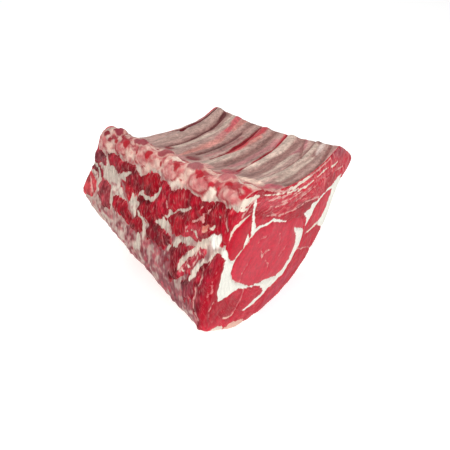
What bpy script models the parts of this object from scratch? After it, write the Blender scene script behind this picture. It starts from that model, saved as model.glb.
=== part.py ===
"""Bone-in beef rib roast: a lean body with its eye muscles, seam fat, ribs and split backbone.

Everything is laid out in the anatomical frame of the roast and then tilted as one thing:
  +x runs along the spine towards the chuck end, +y from the split backbone towards the rib ends,
  and +z from the fat side towards the inside of the ribs.
An empty holds the tilt with which the roast rests on its fat side. Outlines are drawn in units
of which 58 lie between the middles of two vertebrae, and UNIT turns them into metres.
"""
import math

import bmesh
import bpy
from mathutils import Matrix, Vector

VERTEBRA_PITCH = 0.053  # metres from the middle of one vertebra to the next
UNIT = VERTEBRA_PITCH / 58  # metres to a unit of the outlines
GAP = 0.0003  # air left between two pieces that touch

# How the roast rests: rolled onto its fat side, then pitched so that its underside is level.
REST_ROLL = math.radians(33.5)
REST_PITCH = math.radians(9.25)
REST_SHIFT = (0.1391, -0.0686, 0.2326)

# The saw cuts at the two ends, in units: x = offset + slope_y * y + slope_z * z.
CHUCK_CUT = (0, -0.1255, 0.038)
LOIN_CUT = (-332, 0.06, 0.0)

STATIONS = 13  # rings along the spine
SPAN_STEPS = 2  # points per span of an outline

# Outlines of the roast across the spine, (y, z) in units, in the order of OUTLINE_ROLES.
OUTLINE_ROLES = (
    "dorsal_edge", "medial_low", "medial_high", "chine_edge", "chine_crest", "chine_notch",
    "plate_low", "plate_middle", "plate_high", "rib_end_inner", "rib_end_outer", "side_high",
    "side_middle", "side_low", "belly_back", "belly_middle", "belly_front", "belly_edge",
)
CORNERS = ("dorsal_edge", "chine_edge", "rib_end_inner", "rib_end_outer")
CHUCK_OUTLINE = (
    (-10, -206), (-22, -165), (-15, -95), (-13, -32), (18, -16), (58, -15),
    (110, 0), (165, 28), (198, 52), (216, 69), (288, 58), (268, 5),
    (268, -55), (250, -112), (213, -166), (150, -203), (80, -222), (15, -217),
)
MIDDLE_OUTLINE = (
    (2, -175), (-5, -140), (-1, -85), (0, -28), (18, -17), (60, -20),
    (112, -4), (165, 21), (198, 42), (229, 67), (270, 30), (268, -22),
    (252, -72), (228, -113), (195, -148), (150, -174), (90, -190), (30, -187),
)
LOIN_OUTLINE = (
    (6, -130), (-2, -110), (4, -66), (2, -24), (18, -4), (72, -13),
    (115, 2), (160, 23), (204, 49), (236, 83), (268, 46), (264, -5),
    (246, -50), (222, -90), (190, -122), (148, -146), (95, -157), (35, -151),
)

# Muscles and fat that run from one cut end to the other: outlines at the chuck and loin ends.
RIBEYE_CHUCK = (
    (12, -121), (36, -84), (82, -60), (130, -54), (176, -62), (184, -100),
    (166, -137), (120, -152), (70, -153), (28, -140),
)
RIBEYE_LOIN = (
    (26, -92), (42, -62), (80, -42), (126, -36), (172, -40), (188, -68),
    (172, -100), (126, -116), (80, -118), (40, -109),
)
OVAL_MUSCLE_CHUCK = ((2, -57), (18, -58), (24, -80), (16, -106), (2, -110), (-7, -86))
OVAL_MUSCLE_LOIN = ((12, -54), (21, -55), (26, -65), (22, -80), (15, -84), (10, -69))
SEAM_FAT_CHUCK = (
    (-6, -108), (10, -112), (40, -120), (90, -125), (150, -120), (178, -100),
    (194, -74), (200, -100), (190, -130), (160, -158), (125, -168), (70, -158),
    (30, -163), (8, -169), (-2, -150),
)
SEAM_FAT_LOIN = (
    (14, -85), (26, -87), (44, -90), (90, -94), (150, -86), (180, -62),
    (196, -40), (203, -68), (190, -98), (160, -116), (124, -126), (72, -128),
    (38, -120), (20, -110), (13, -97),
)

STRAND_SAG = 6  # how far a strand dips midway, like the backbone above it
STRAND_RINGS = 7
OVERRUN = 10  # how far a cutter passes beyond the saw cuts

# Ribs: x where each leaves the backbone and x at its sawn end.
RIB_ROOTS = (-288, -230, -163, -105, -49)
RIB_TIPS = (-304, -252, -182, -122, -66)
RIB_START_Y = 66  # distance from the split plane at which a rib starts
RIB_HALF_WIDTH = 14
RIB_HALF_DEPTH = 8
RIB_PROUD = 5  # height of a rib's crest above the meat between the ribs
RIB_RINGS = 9
RIB_SIDES = 10

# Sawn backbone: centres of the half vertebrae along the spine.
VERTEBRA_CENTRES = (-312, -264, -207, -148, -89, -32)
VERTEBRA_LENGTHS = (34, 46, 50, 51, 51, 50)
VERTEBRA_HEIGHT = 17  # of the sawn face on the split plane
VERTEBRA_PROUD = 3
VERTEBRA_WAIST = 0.08
VERTEBRA_RINGS = 5

# Feather bone at the chuck end: corners on the split face, (x, z).
FEATHER_CORNERS = ((-38, -90), (-24, -108), (-68, -163), (-106, -137))
FEATHER_FACE = (-17.5, -0.05)  # y of its sawn face: offset and slope along x
FEATHER_THICKNESS = 12


def clear_scene():
    """Take away whatever objects the file starts with."""
    for obj in list(bpy.data.objects):
        bpy.data.objects.remove(obj)


def make_material(name, colour, roughness):
    """A plain Principled material."""
    material = bpy.data.materials.new(name)
    material.use_nodes = True
    shader = material.node_tree.nodes["Principled BSDF"]
    shader.inputs["Base Color"].default_value = (*colour, 1.0)
    shader.inputs["Roughness"].default_value = roughness
    shader.inputs["Metallic"].default_value = 0.0
    return material


def smooth_closed(points, corners=(), steps=SPAN_STEPS):
    """Closed Catmull-Rom curve through the points, with a kink kept at each corner index."""
    count = len(points)
    vectors = [Vector(point) for point in points]
    curve = []
    for index in range(count):
        start = vectors[index]
        end = vectors[(index + 1) % count]
        before = vectors[index - 1]
        after = vectors[(index + 2) % count]
        if index in corners:
            before = 2 * start - end
        if (index + 1) % count in corners:
            after = 2 * end - start
        for step in range(steps):
            s = step / steps
            curve.append(0.5 * (
                2 * start
                + (end - before) * s
                + (2 * before - 5 * start + 4 * end - after) * s ** 2
                + (3 * start - before - 3 * end + after) * s ** 3
            ))
    return curve


def grow_outline(points, distance):
    """Move each point of a closed outline outwards by the distance."""
    count = len(points)
    area = sum(
        points[i - 1].x * points[i].y - points[i].x * points[i - 1].y for i in range(count)
    )
    outward = 1 if area > 0 else -1
    grown = []
    for index in range(count):
        along = points[(index + 1) % count] - points[index - 1]
        normal = Vector((along.y, -along.x)).normalized() * outward
        grown.append(points[index] + normal * distance)
    return grown


def cut_x(cut, y, z):
    """x of a saw cut at (y, z)."""
    offset, slope_y, slope_z = cut
    return offset * UNIT + slope_y * y + slope_z * z


def along_spine(t, y, z):
    """The point at the fraction t of the way from the chuck cut to the loin cut."""
    x = cut_x(CHUCK_CUT, y, z) * (1 - t) + cut_x(LOIN_CUT, y, z) * t
    return Vector((x, y, z))


def body_outline(t):
    """The roast's control outline at the fraction t along the spine, in metres."""
    chuck_share = (1 - t) * (1 - 2 * t)
    middle_share = 4 * t * (1 - t)
    loin_share = t * (2 * t - 1)
    outline = []
    for chuck, middle, loin in zip(CHUCK_OUTLINE, MIDDLE_OUTLINE, LOIN_OUTLINE):
        y = chuck[0] * chuck_share + middle[0] * middle_share + loin[0] * loin_share
        z = chuck[1] * chuck_share + middle[1] * middle_share + loin[1] * loin_share
        outline.append(Vector((y, z)) * UNIT)
    return outline


def role_point(t, role):
    """One named point of the control outline as a 3-D point."""
    y, z = body_outline(t)[OUTLINE_ROLES.index(role)]
    return along_spine(t, y, z)


def inner_surface(x, y):
    """z of the inside of the rib plate at (x, y), in metres."""
    t = (cut_x(CHUCK_CUT, y, 0) - x) / (cut_x(CHUCK_CUT, y, 0) - cut_x(LOIN_CUT, y, 0))
    corners = [OUTLINE_ROLES.index(role) for role in CORNERS]
    curve = smooth_closed(body_outline(t), corners)
    first = OUTLINE_ROLES.index("chine_crest") * SPAN_STEPS
    last = OUTLINE_ROLES.index("rib_end_inner") * SPAN_STEPS
    for low, high in zip(curve[first:last], curve[first + 1:last + 1]):
        if low.x <= y <= high.x:
            return low.y + (high.y - low.y) * (y - low.x) / (high.x - low.x)
    return curve[last].y + (y - curve[last].x) * 0.8


def mesh_object(name, rings, material=None):
    """A closed body lofted through rings of equal point counts."""
    mesh = bpy.data.meshes.new(name)
    build = bmesh.new()
    rows = [[build.verts.new(point) for point in ring] for ring in rings]
    sides = len(rings[0])
    for row, following in zip(rows, rows[1:]):
        for k in range(sides):
            m = (k + 1) % sides
            build.faces.new((row[k], row[m], following[k]))
            build.faces.new((row[m], following[m], following[k]))
    build.faces.new(rows[0][::-1])
    build.faces.new(rows[-1])
    bmesh.ops.recalc_face_normals(build, faces=build.faces)
    build.to_mesh(mesh)
    build.free()
    obj = bpy.data.objects.new(name, mesh)
    bpy.context.collection.objects.link(obj)
    if material is not None:
        mesh.materials.append(material)
        mesh.shade_smooth()
        mesh.set_sharp_from_angle(angle=math.radians(40))
    return obj


def mark_cutter(obj):
    """A cutter is only a guide: it is not rendered and shows as wire."""
    obj.hide_render = True
    obj.display_type = "WIRE"
    return obj


def cut_away(target, cutter):
    """Subtract the cutter from the target with a Boolean modifier that stays on it."""
    modifier = target.modifiers.new(cutter.name, "BOOLEAN")
    modifier.operation = "DIFFERENCE"
    modifier.solver = "EXACT"
    modifier.object = cutter


def lean_body(material):
    """The whole roast as one solid, before the other pieces are let into it."""
    corners = [OUTLINE_ROLES.index(role) for role in CORNERS]
    rings = []
    for station in range(STATIONS):
        t = station / (STATIONS - 1)
        curve = smooth_closed(body_outline(t), corners)
        rings.append([along_spine(t, point.x, point.y) for point in curve])
    return mesh_object("lean", rings, material)


def through_rings(chuck, loin, grow=0.0, overrun=0.0):
    """Rings of a strand that runs from the chuck cut to the loin cut."""
    rings = []
    for station in range(STRAND_RINGS):
        t = station / (STRAND_RINGS - 1)
        points = [
            Vector(a).lerp(Vector(b), t) * UNIT for a, b in zip(chuck, loin)
        ]
        curve = smooth_closed(points)
        if grow:
            curve = grow_outline(curve, grow)
        sag = -4 * t * (1 - t) * STRAND_SAG * UNIT
        rings.append([along_spine(t, point.x, point.y + sag) for point in curve])
    if overrun:
        beyond = Vector((overrun, 0, 0))
        rings.insert(0, [point + beyond for point in rings[0]])
        rings.append([point - beyond for point in rings[-1]])
    return rings


def strand(name, chuck, loin, material):
    """A muscle or fat seam through the roast, with the cutter that makes room for it."""
    piece = mesh_object(name, through_rings(chuck, loin), material)
    rings = through_rings(chuck, loin, GAP, OVERRUN * UNIT)
    cutter = mark_cutter(mesh_object("cut_" + name, rings))
    return piece, cutter


def rib_rings(root_x, tip_x, grow=0.0, overrun=0.0):
    """Rings of one rib, from beside the backbone to its sawn end."""
    half_width = RIB_HALF_WIDTH * UNIT + grow
    half_depth = RIB_HALF_DEPTH * UNIT + grow
    tip_t = tip_x / LOIN_CUT[0]
    inner = role_point(tip_t, "rib_end_inner")
    outer = role_point(tip_t, "rib_end_outer")
    across = (outer - inner).normalized()
    end_normal = Vector((0, -across.z, across.y))
    if end_normal.y < 0:
        end_normal = -end_normal
    start_y = RIB_START_Y * UNIT
    rings = []
    for step in range(RIB_RINGS):
        s = step / (RIB_RINGS - 1)
        y = start_y + (inner.y - start_y) * s
        x = (root_x + (tip_x - root_x) * s) * UNIT
        before = Vector((x, y - 0.005, inner_surface(x, y - 0.005)))
        ahead = Vector((x, min(y + 0.005, inner.y), inner_surface(x, min(y + 0.005, inner.y))))
        forward = (ahead - before).normalized()
        up = Vector((1, 0, 0)).cross(forward).normalized()
        taper = 0.55 + 0.45 * math.sin(min(s * 4, 1) * math.pi / 2)
        surface = Vector((x, y, inner_surface(x, y)))
        centre = surface + up * (RIB_PROUD * UNIT * taper - half_depth + grow)
        ring = []
        for side in range(RIB_SIDES):
            angle = 2 * math.pi * side / RIB_SIDES
            point = centre + Vector((1, 0, 0)) * math.cos(angle) * half_width * taper
            point += up * math.sin(angle) * half_depth
            if step == RIB_RINGS - 1:
                travel = (inner - point).dot(end_normal) / forward.dot(end_normal)
                point += forward * travel
            ring.append(point)
        if step == 0:
            ring = [point - forward * grow for point in ring]
        rings.append(ring)
    if overrun:
        rings.append([point + forward * overrun for point in rings[-1]])
    return rings


def rib(number, material):
    """One rib and the cutter that beds it in the meat."""
    root_x = RIB_ROOTS[number]
    tip_x = RIB_TIPS[number]
    name = f"rib_{number + 1}"
    piece = mesh_object(name, rib_rings(root_x, tip_x), material)
    cutter = mark_cutter(mesh_object("cut_" + name, rib_rings(root_x, tip_x, GAP, OVERRUN * UNIT)))
    return piece, cutter


def vertebra_section(t, waist, grow):
    """Outline of a half vertebra across the spine: sawn flat on the split face, round above."""
    edge, crest, notch = (
        body_outline(t)[OUTLINE_ROLES.index(role)]
        for role in ("chine_edge", "chine_crest", "chine_notch")
    )
    proud = VERTEBRA_PROUD * UNIT
    height = VERTEBRA_HEIGHT * UNIT
    points = [
        Vector((edge.x - proud, edge.y - height)),
        Vector((edge.x - proud, edge.y)),
        edge.lerp(crest, 0.4) + Vector((0, 2.5 * proud)),
        Vector((crest.x, crest.y + 1.3 * proud)),
        crest.lerp(notch, 0.55) + Vector((0, proud)),
        crest.lerp(notch, 0.75) - Vector((0, 0.6 * height)),
        crest.lerp(notch, 0.35) - Vector((0, 1.9 * height)),
    ]
    middle = sum(points, Vector((0, 0))) / len(points)
    points = [middle + (point - middle) * waist for point in points]
    curve = smooth_closed(points, corners=(0, 1))
    return grow_outline(curve, grow) if grow else curve


def vertebra_rings(number, grow=0.0):
    """Rings of one half vertebra, waisted in the middle of its length."""
    half_length = VERTEBRA_LENGTHS[number] * UNIT / 2
    rings = []
    for step in range(VERTEBRA_RINGS):
        s = step / (VERTEBRA_RINGS - 1) * 2 - 1
        x = VERTEBRA_CENTRES[number] * UNIT + s * (half_length + grow)
        t = x / (LOIN_CUT[0] * UNIT)
        waist = 1 - VERTEBRA_WAIST * (1 - s * s)
        section = vertebra_section(t, waist, grow)
        rings.append([Vector((x, point.x, point.y)) for point in section])
    return rings


def vertebra(number, material):
    """One half vertebra and the cutter that beds it."""
    name = f"vertebra_{number + 1}"
    piece = mesh_object(name, vertebra_rings(number), material)
    cutter = mark_cutter(mesh_object("cut_" + name, vertebra_rings(number, GAP)))
    return piece, cutter


def feather_rings(grow=0.0):
    """Rings of the feather bone: a flat tapering plate let into the split face."""
    corners = [Vector(corner) * UNIT for corner in FEATHER_CORNERS]
    outline = smooth_closed(corners, steps=3)
    if grow:
        outline = grow_outline(outline, grow)
    offset, slope = FEATHER_FACE
    rings = []
    for depth in (-grow, FEATHER_THICKNESS * UNIT + grow):
        rings.append([
            Vector((point.x, offset * UNIT + slope * point.x + depth, point.y)) for point in outline
        ])
    return rings


def feather_bone(material):
    """The split spinous process at the chuck end, with its cutter."""
    piece = mesh_object("feather_bone", feather_rings(), material)
    cutter = mark_cutter(mesh_object("cut_feather_bone", feather_rings(GAP)))
    return piece, cutter


def counter_cutter():
    """A slab whose top is the plane that the roast rests on."""
    mesh = bpy.data.meshes.new("cut_underside")
    build = bmesh.new()
    bmesh.ops.create_cube(build, size=1.0)
    bmesh.ops.scale(build, vec=(0.8, 0.8, 0.1), verts=build.verts)
    bmesh.ops.translate(build, vec=(0, 0, -0.05), verts=build.verts)
    build.to_mesh(mesh)
    build.free()
    obj = bpy.data.objects.new("cut_underside", mesh)
    bpy.context.collection.objects.link(obj)
    return mark_cutter(obj)


def rest_empty():
    """The empty that tilts the roast from its anatomical frame to the way it rests."""
    empty = bpy.data.objects.new("rest_pose", None)
    bpy.context.collection.objects.link(empty)
    turn = Matrix.Rotation(-REST_PITCH, 4, "Y") @ Matrix.Rotation(-REST_ROLL, 4, "X")
    empty.matrix_world = Matrix.Translation(REST_SHIFT) @ turn
    return empty


def main():
    clear_scene()
    lean_red = make_material("lean_meat", (0.42, 0.02, 0.03), 0.42)
    eye_red = make_material("eye_meat", (0.50, 0.04, 0.05), 0.40)
    fat_cream = make_material("seam_fat", (0.80, 0.70, 0.58), 0.45)
    bone_pink = make_material("sawn_bone", (0.66, 0.33, 0.30), 0.50)
    membrane_grey = make_material("rib_membrane", (0.47, 0.34, 0.31), 0.38)

    body = lean_body(lean_red)
    ribeye, ribeye_cut = strand("ribeye", RIBEYE_CHUCK, RIBEYE_LOIN, eye_red)
    oval, oval_cut = strand("oval_muscle", OVAL_MUSCLE_CHUCK, OVAL_MUSCLE_LOIN, eye_red)
    fat, fat_cut = strand("seam_fat", SEAM_FAT_CHUCK, SEAM_FAT_LOIN, fat_cream)
    cut_away(fat, ribeye_cut)
    cut_away(fat, oval_cut)
    pairs = [(ribeye, ribeye_cut), (oval, oval_cut), (fat, fat_cut)]
    pairs += [rib(number, membrane_grey) for number in range(len(RIB_ROOTS))]
    pairs += [vertebra(number, bone_pink) for number in range(len(VERTEBRA_CENTRES))]
    feather, feather_cut = feather_bone(bone_pink)
    cut_away(feather, oval_cut)
    cut_away(feather, fat_cut)
    pairs.append((feather, feather_cut))

    rest = rest_empty()
    body.parent = rest
    for piece, cutter in pairs:
        piece.parent = rest
        cutter.parent = rest
        cut_away(body, cutter)
    underside = counter_cutter()
    cut_away(body, underside)


main()
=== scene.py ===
import math

import bmesh
import bpy
import numpy as np
from mathutils import Matrix, Vector
from mathutils.geometry import delaunay_2d_cdt


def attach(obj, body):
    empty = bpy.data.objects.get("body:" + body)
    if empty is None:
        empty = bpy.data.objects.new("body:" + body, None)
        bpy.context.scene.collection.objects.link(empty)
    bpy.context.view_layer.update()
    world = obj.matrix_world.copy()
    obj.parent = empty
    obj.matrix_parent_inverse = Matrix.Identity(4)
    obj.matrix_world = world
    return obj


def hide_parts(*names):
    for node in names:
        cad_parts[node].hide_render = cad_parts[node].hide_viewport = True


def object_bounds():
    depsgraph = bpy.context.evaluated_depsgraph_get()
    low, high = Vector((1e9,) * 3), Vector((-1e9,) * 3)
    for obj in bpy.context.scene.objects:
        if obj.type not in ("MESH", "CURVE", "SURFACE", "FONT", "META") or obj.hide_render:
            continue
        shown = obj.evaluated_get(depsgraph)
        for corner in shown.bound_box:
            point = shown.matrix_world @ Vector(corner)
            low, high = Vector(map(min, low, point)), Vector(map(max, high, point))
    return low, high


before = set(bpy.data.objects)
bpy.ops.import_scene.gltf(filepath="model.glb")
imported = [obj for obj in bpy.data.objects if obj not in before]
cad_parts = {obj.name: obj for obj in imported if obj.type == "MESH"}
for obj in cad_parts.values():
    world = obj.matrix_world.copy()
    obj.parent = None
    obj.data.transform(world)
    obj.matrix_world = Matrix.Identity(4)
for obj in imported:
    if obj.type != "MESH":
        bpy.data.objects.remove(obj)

CAD_BOX = [list(corner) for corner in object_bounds()]

# ---------------------------------------------------------------- the roast's frame
# Outlines are drawn in units; x runs along the spine towards the chuck end, y from the split
# backbone to the rib ends and z from the fat side to the inside of the ribs.
UNIT = 0.053 / 58
REST = (
    Matrix.Translation((0.1391, -0.0686, 0.2326))
    @ Matrix.Rotation(math.radians(-9.25), 4, "Y")
    @ Matrix.Rotation(math.radians(-33.5), 4, "X")
)
# Planes of the two saw cuts: x at the origin, and its slope in y and in z.
CHUCK_CUT = (0, -0.1255, 0.038)
LOIN_CUT = (-332, 0.06, 0.0)
SPINE_LENGTH = 332
# Cross sections in (y, z) at both ends and halfway, drawn through the same 18 landmarks.
CHUCK_OUTLINE = (
    (-10, -206), (-22, -165), (-15, -95), (-13, -32), (18, -16), (58, -15), (110, 0), (165, 28), (198, 52),
    (216, 69), (288, 58), (268, 5), (268, -55), (250, -112), (213, -166), (150, -203), (80, -222),
    (15, -217),
)
MIDDLE_OUTLINE = (
    (2, -175), (-5, -140), (-1, -85), (0, -28), (18, -17), (60, -20), (112, -4), (165, 21), (198, 42),
    (229, 67), (270, 30), (268, -22), (252, -72), (228, -113), (195, -148), (150, -174), (90, -190),
    (30, -187),
)
LOIN_OUTLINE = (
    (6, -130), (-2, -110), (4, -66), (2, -24), (18, -4), (72, -13), (115, 2), (160, 23), (204, 49),
    (236, 83), (268, 46), (264, -5), (246, -50), (222, -90), (190, -122), (148, -146), (95, -157),
    (35, -151),
)
CORNERS = (3, 9)  # landmarks with a sharp corner: the chine edge and the rib ends
# Samples from each landmark to the next, and the way round from the chine edge at each of them.
SPANS = (20, 32, 30, 14, 22, 20, 20, 14, 13, 24, 12, 12, 12, 12, 12, 12, 13, 8)
WAY = (
    -168.0, -113.0, -55.5, 0.0, 24.7, 68.7, 121.9, 179.4, 221.0, 259.3, 315.0, 365.0, 415.0, 470.0, 520.0,
    570.0, 630.0, 690.0, 720.0,
)
WHOLE_WAY = 888  # all the way round
LAST_COVER_WAY = 600  # beyond this the way is counted back from the chine edge
# Rounding of the chuck cut's edge at each landmark, and of the loin cut's edge.
CHUCK_ROUND = (9, 9, 8, 6, 3, 3, 2.5, 2.5, 3, 4, 5, 4, 4, 4, 5, 6, 6, 7, 9)
LOIN_ROUND = 5.0
VERTEBRA_CENTRES = (-312, -264, -207, -148, -89, -32)
VERTEBRA_LENGTHS = (34, 46, 50, 51, 51, 50)

# ---------------------------------------------------------------- colours, linear
FACE_RED = (0.60, 0.034, 0.060)
BAND_RED = (0.54, 0.014, 0.036)
OVAL_RED = (0.55, 0.010, 0.030)
BRIGHT_RED = (0.60, 0.012, 0.036)
DEEP_RED = (0.40, 0.004, 0.018)
LEAN_DARK = (0.30, 0.005, 0.016)
CRIMSON = (0.31, 0.003, 0.014)
MAROON = (0.22, 0.006, 0.016)
ROSE = (0.60, 0.11, 0.13)
PLUM = (0.27, 0.035, 0.052)
WHITE_FAT = (0.88, 0.87, 0.78)
CREAM = (0.84, 0.72, 0.60)
PEACH = (0.83, 0.50, 0.40)
PINK_FAT = (0.70, 0.33, 0.30)
GREY_CREAM = (0.59, 0.495, 0.415)
FASCIA = (0.40, 0.16, 0.16)
FILM_PALE = (0.59, 0.475, 0.405)
FILM_BROWN = (0.24, 0.085, 0.095)
FILM_DUSKY = (0.31, 0.10, 0.11)
FILM_ROSE = (0.44, 0.08, 0.10)
MEMBRANE = (0.45, 0.28, 0.245)
MEMBRANE_PALE = (0.56, 0.42, 0.35)
# painted shade of the plate's valleys and soft grooves, also used for some darker lines in the membrane
MEMBRANE_SHADE_AND_LINES = (0.26, 0.118, 0.105)
SALMON = (0.57, 0.235, 0.20)
BONE_PINK = (0.60, 0.19, 0.18)
BONE_CREAM = (0.80, 0.56, 0.46)
BONE_DULL = (0.40, 0.13, 0.14)
BONE_BLOOD = (0.38, 0.035, 0.045)
BONE_DISC = (0.62, 0.24, 0.225)
BONE_RING = (0.50, 0.11, 0.115)
PORE_PALE = (0.76, 0.50, 0.43)
PORE_DARK = (0.48, 0.07, 0.085)
GRISTLE = (0.34, 0.014, 0.026)
GRISTLE_RING = (0.36, 0.016, 0.028)
MARROW = (0.40, 0.010, 0.020)
FRESH_MARROW = (0.50, 0.014, 0.030)


# ---------------------------------------------------------------- noise and shape helpers
FAR_AWAY = 1e3
TINY = 1e-9
LATTICE_SIZE = 64
LATTICE = np.random.default_rng(58).random((LATTICE_SIZE,) * 3) * 2 - 1
SEED_SHIFT = np.array([7.31, 3.77, 11.9])
NOISE_GAIN = 1.6  # brings the averaged lattice values back to about -1 to 1


def ramp(low, high, value):
    """Smooth step from 0 at low to 1 at high."""
    s = np.clip((value - low) / (high - low), 0, 1)
    return s * s * (3 - 2 * s)


def bell(distance, width):
    """1 at no distance, falling to nothing at a few widths."""
    return np.exp(-(distance / width) ** 2)


def unit(vectors):
    return vectors / (np.linalg.norm(vectors, axis=-1, keepdims=True) + 1e-12)


def even(colour, shape):
    """The same colour at every point."""
    return np.tile(np.array(colour), (*shape, 1))


def mix(a, b, weight):
    weight = np.asarray(weight)[..., None]
    return a * (1 - weight) + np.asarray(b, float) * weight


def coats(colours, layers):
    """The colours with each (colour, weight) laid over them in turn."""
    for colour, weight in layers:
        colours = mix(colours, colour, weight)
    return colours


def noise(points, size, seed=0):
    """Smooth noise from -1 to 1 whose bumps are about the given size."""
    q = points / size + seed * SEED_SHIFT
    base = np.floor(q).astype(int)
    f = q - base
    f = f * f * (3 - 2 * f)
    total = 0
    for corner in np.ndindex(2, 2, 2):
        weight = np.prod(np.where(corner, f, 1 - f), axis=-1)
        cell = (base + corner) % LATTICE_SIZE
        total = total + weight * LATTICE[cell[..., 0], cell[..., 1], cell[..., 2]]
    return total * NOISE_GAIN


def fractal(points, size, seed=0, octaves=3):
    """Noise with finer and weaker noise on top."""
    layers = (noise(points, size / 2 ** k, seed + k) / 2 ** k for k in range(octaves))
    return sum(layers) / 1.5


def segment_gap(a, b, start, end):
    """Distance of each point from a straight segment, and how far along it the nearest place is."""
    (a0, b0), (a1, b1) = start, end
    da, db = a1 - a0, b1 - b0
    s = np.clip(((a - a0) * da + (b - b0) * db) / (da * da + db * db + TINY), 0, 1)
    return np.hypot(a - a0 - s * da, b - b0 - s * db), s


def line_field(a, b, line):
    """How far inside a tapering line each point lies: half width minus distance."""
    best = np.full(a.shape, -FAR_AWAY)
    for (*start, w0), (*end, w1) in zip(line, line[1:]):
        gap, s = segment_gap(a, b, start, end)
        best = np.maximum(best, w0 + (w1 - w0) * s - gap)
    return best


def area_field(a, b, outline):
    """Signed distance to a closed outline, positive inside."""
    edge = np.full(a.shape, FAR_AWAY)
    inside = np.zeros(a.shape, bool)
    for start, end in zip(outline, np.roll(outline, -1, 0)):
        edge = np.minimum(edge, segment_gap(a, b, start, end)[0])
        (a0, b0), (a1, b1) = start, end
        rise = b1 - b0
        across = a0 + (b - b0) * (a1 - a0) / (TINY if abs(rise) < TINY else rise)
        inside ^= ((b0 > b) != (b1 > b)) & (a < across)
    return np.where(inside, edge, -edge)


def turned(a, b, degrees):
    """Coordinates along and across a direction in the (a, b) plane."""
    c, s = math.cos(math.radians(degrees)), math.sin(math.radians(degrees))
    return a * c + b * s, b * c - a * s


def spot_field(a, b, spot):
    """Like area_field for an ellipse: a, b, half a, half b and perhaps a turn in degrees."""
    a0, b0, half_a, half_b, turn = (*spot, 0)[:5]
    u, v = turned(a - a0, b - b0, turn)
    return (1 - np.hypot(u / half_a, v / half_b)) * min(half_a, half_b)


def mark_field(a, b, mark):
    """The field of a mark, which is a line, an area or a spot."""
    if np.ndim(mark) == 1:
        return spot_field(a, b, mark)
    return line_field(a, b, mark) if len(mark[0]) == 3 else area_field(a, b, mark)


def catmull_rom(before, start, end, after, s):
    """Point of the smooth curve at share s of the way from start to end."""
    return 0.5 * (
        2 * start + (end - before) * s
        + (2 * before - 5 * start + 4 * end - after) * s ** 2
        + (3 * start - before - 3 * end + after) * s ** 3
    )


def smooth_closed(points, counts, corners=()):
    """Closed smooth curve with the given number of samples in each span."""
    points = np.array(points, float)
    curve = []
    for i, count in enumerate(counts):
        before, start, end, after = np.roll(points, 1 - i, 0)[:4]
        if i in corners:
            before = 2 * start - end
        if i + 1 in corners:
            after = 2 * end - start
        curve += [catmull_rom(before, start, end, after, k / count) for k in range(count)]
    return np.stack(curve)


def smooth_open(points, samples):
    """Open smooth curve through the points, with both ends."""
    points = np.array(points, float)
    padded = np.vstack([2 * points[0] - points[1], points, 2 * points[-1] - points[-2]])
    spans = len(points) - 1
    curve = []
    for step in range(samples):
        place = step / (samples - 1) * spans
        i = min(int(place), spans - 1)
        curve.append(catmull_rom(*padded[i:i + 4], place - i))
    return np.array(curve)


def cut_plane(cut, y, z):
    return cut[0] + cut[1] * y + cut[2] * z


# ---------------------------------------------------------------- the outer surface
CUT_ANGLES = (45, 56, 67, 78)  # where rings lie on the rounding of a cut edge, in degrees
STATION_STEP = 1.85  # distance between rings
CORNER_SOFTENING = 6  # rounds of smoothing
# Place of each sample of a ring, counted in landmarks.
LANDMARKS = np.concatenate([i + np.arange(n) / n for i, n in enumerate(SPANS)])


def at_samples(values):
    """Values given at the landmarks, for each sample of a ring."""
    return np.interp(LANDMARKS, np.arange(len(SPANS) + 1), values)


CHUCK_ROUNDING = at_samples(CHUCK_ROUND)
LOIN_ROUNDING = np.full(LANDMARKS.shape, LOIN_ROUND)
RING_WAY = at_samples(WAY)
SPLIT_WAY = np.where(RING_WAY > LAST_COVER_WAY, RING_WAY - WHOLE_WAY, RING_WAY)


def rounded(radius, degrees):
    """(distance from the cut, distance drawn in) at an angle round an edge of that radius."""
    angle = np.radians(degrees)
    return radius * (1 - np.cos(angle)), radius * (1 - np.sin(angle))


def ring_depths():
    """Distance from the chuck cut, and how far drawn in, of each sample of each ring."""
    count = int(SPINE_LENGTH / STATION_STEP)
    share = np.arange(count)[:, None] / (count - 1)
    straight = CHUCK_ROUNDING + (SPINE_LENGTH - LOIN_ROUNDING - CHUCK_ROUNDING) * share
    near = np.array([rounded(CHUCK_ROUNDING, angle) for angle in CUT_ANGLES])
    far = np.array([rounded(LOIN_ROUNDING, angle) for angle in CUT_ANGLES[::-1]])
    depths = np.vstack([near[:, 0], straight, SPINE_LENGTH - far[:, 0]])
    insets = np.vstack([near[:, 1], np.zeros(straight.shape), far[:, 1]])
    return depths, insets


def outer_grid():
    """Ring points (station, sample, xyz) of the roast's skin, and the depth of each."""
    depth, inset = ring_depths()
    outlines = (CHUCK_OUTLINE, MIDDLE_OUTLINE, LOIN_OUTLINE)
    chuck, middle, loin = (smooth_closed(outline, SPANS, CORNERS) for outline in outlines)
    share = depth / SPINE_LENGTH
    t = share[..., None]
    ring = chuck * (1 - t) * (1 - 2 * t) + middle * 4 * t * (1 - t) + loin * t * (2 * t - 1)
    for _ in range(CORNER_SOFTENING):
        ring = 0.5 * ring + 0.25 * (np.roll(ring, 1, 1) + np.roll(ring, -1, 1))
    tangent = np.roll(ring, -1, 1) - np.roll(ring, 1, 1)
    inward = unit(np.stack([-tangent[..., 1], tangent[..., 0]], -1))
    centre = ring.mean(1, keepdims=True)
    inward *= np.sign(((centre - ring) * inward).sum(-1).mean())
    ring = ring + inward * inset[..., None]
    y, z = ring[..., 0], ring[..., 1]
    x = cut_plane(CHUCK_CUT, y, z) * (1 - share) + cut_plane(LOIN_CUT, y, z) * share
    return np.stack([x, y, z], -1), depth


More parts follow.
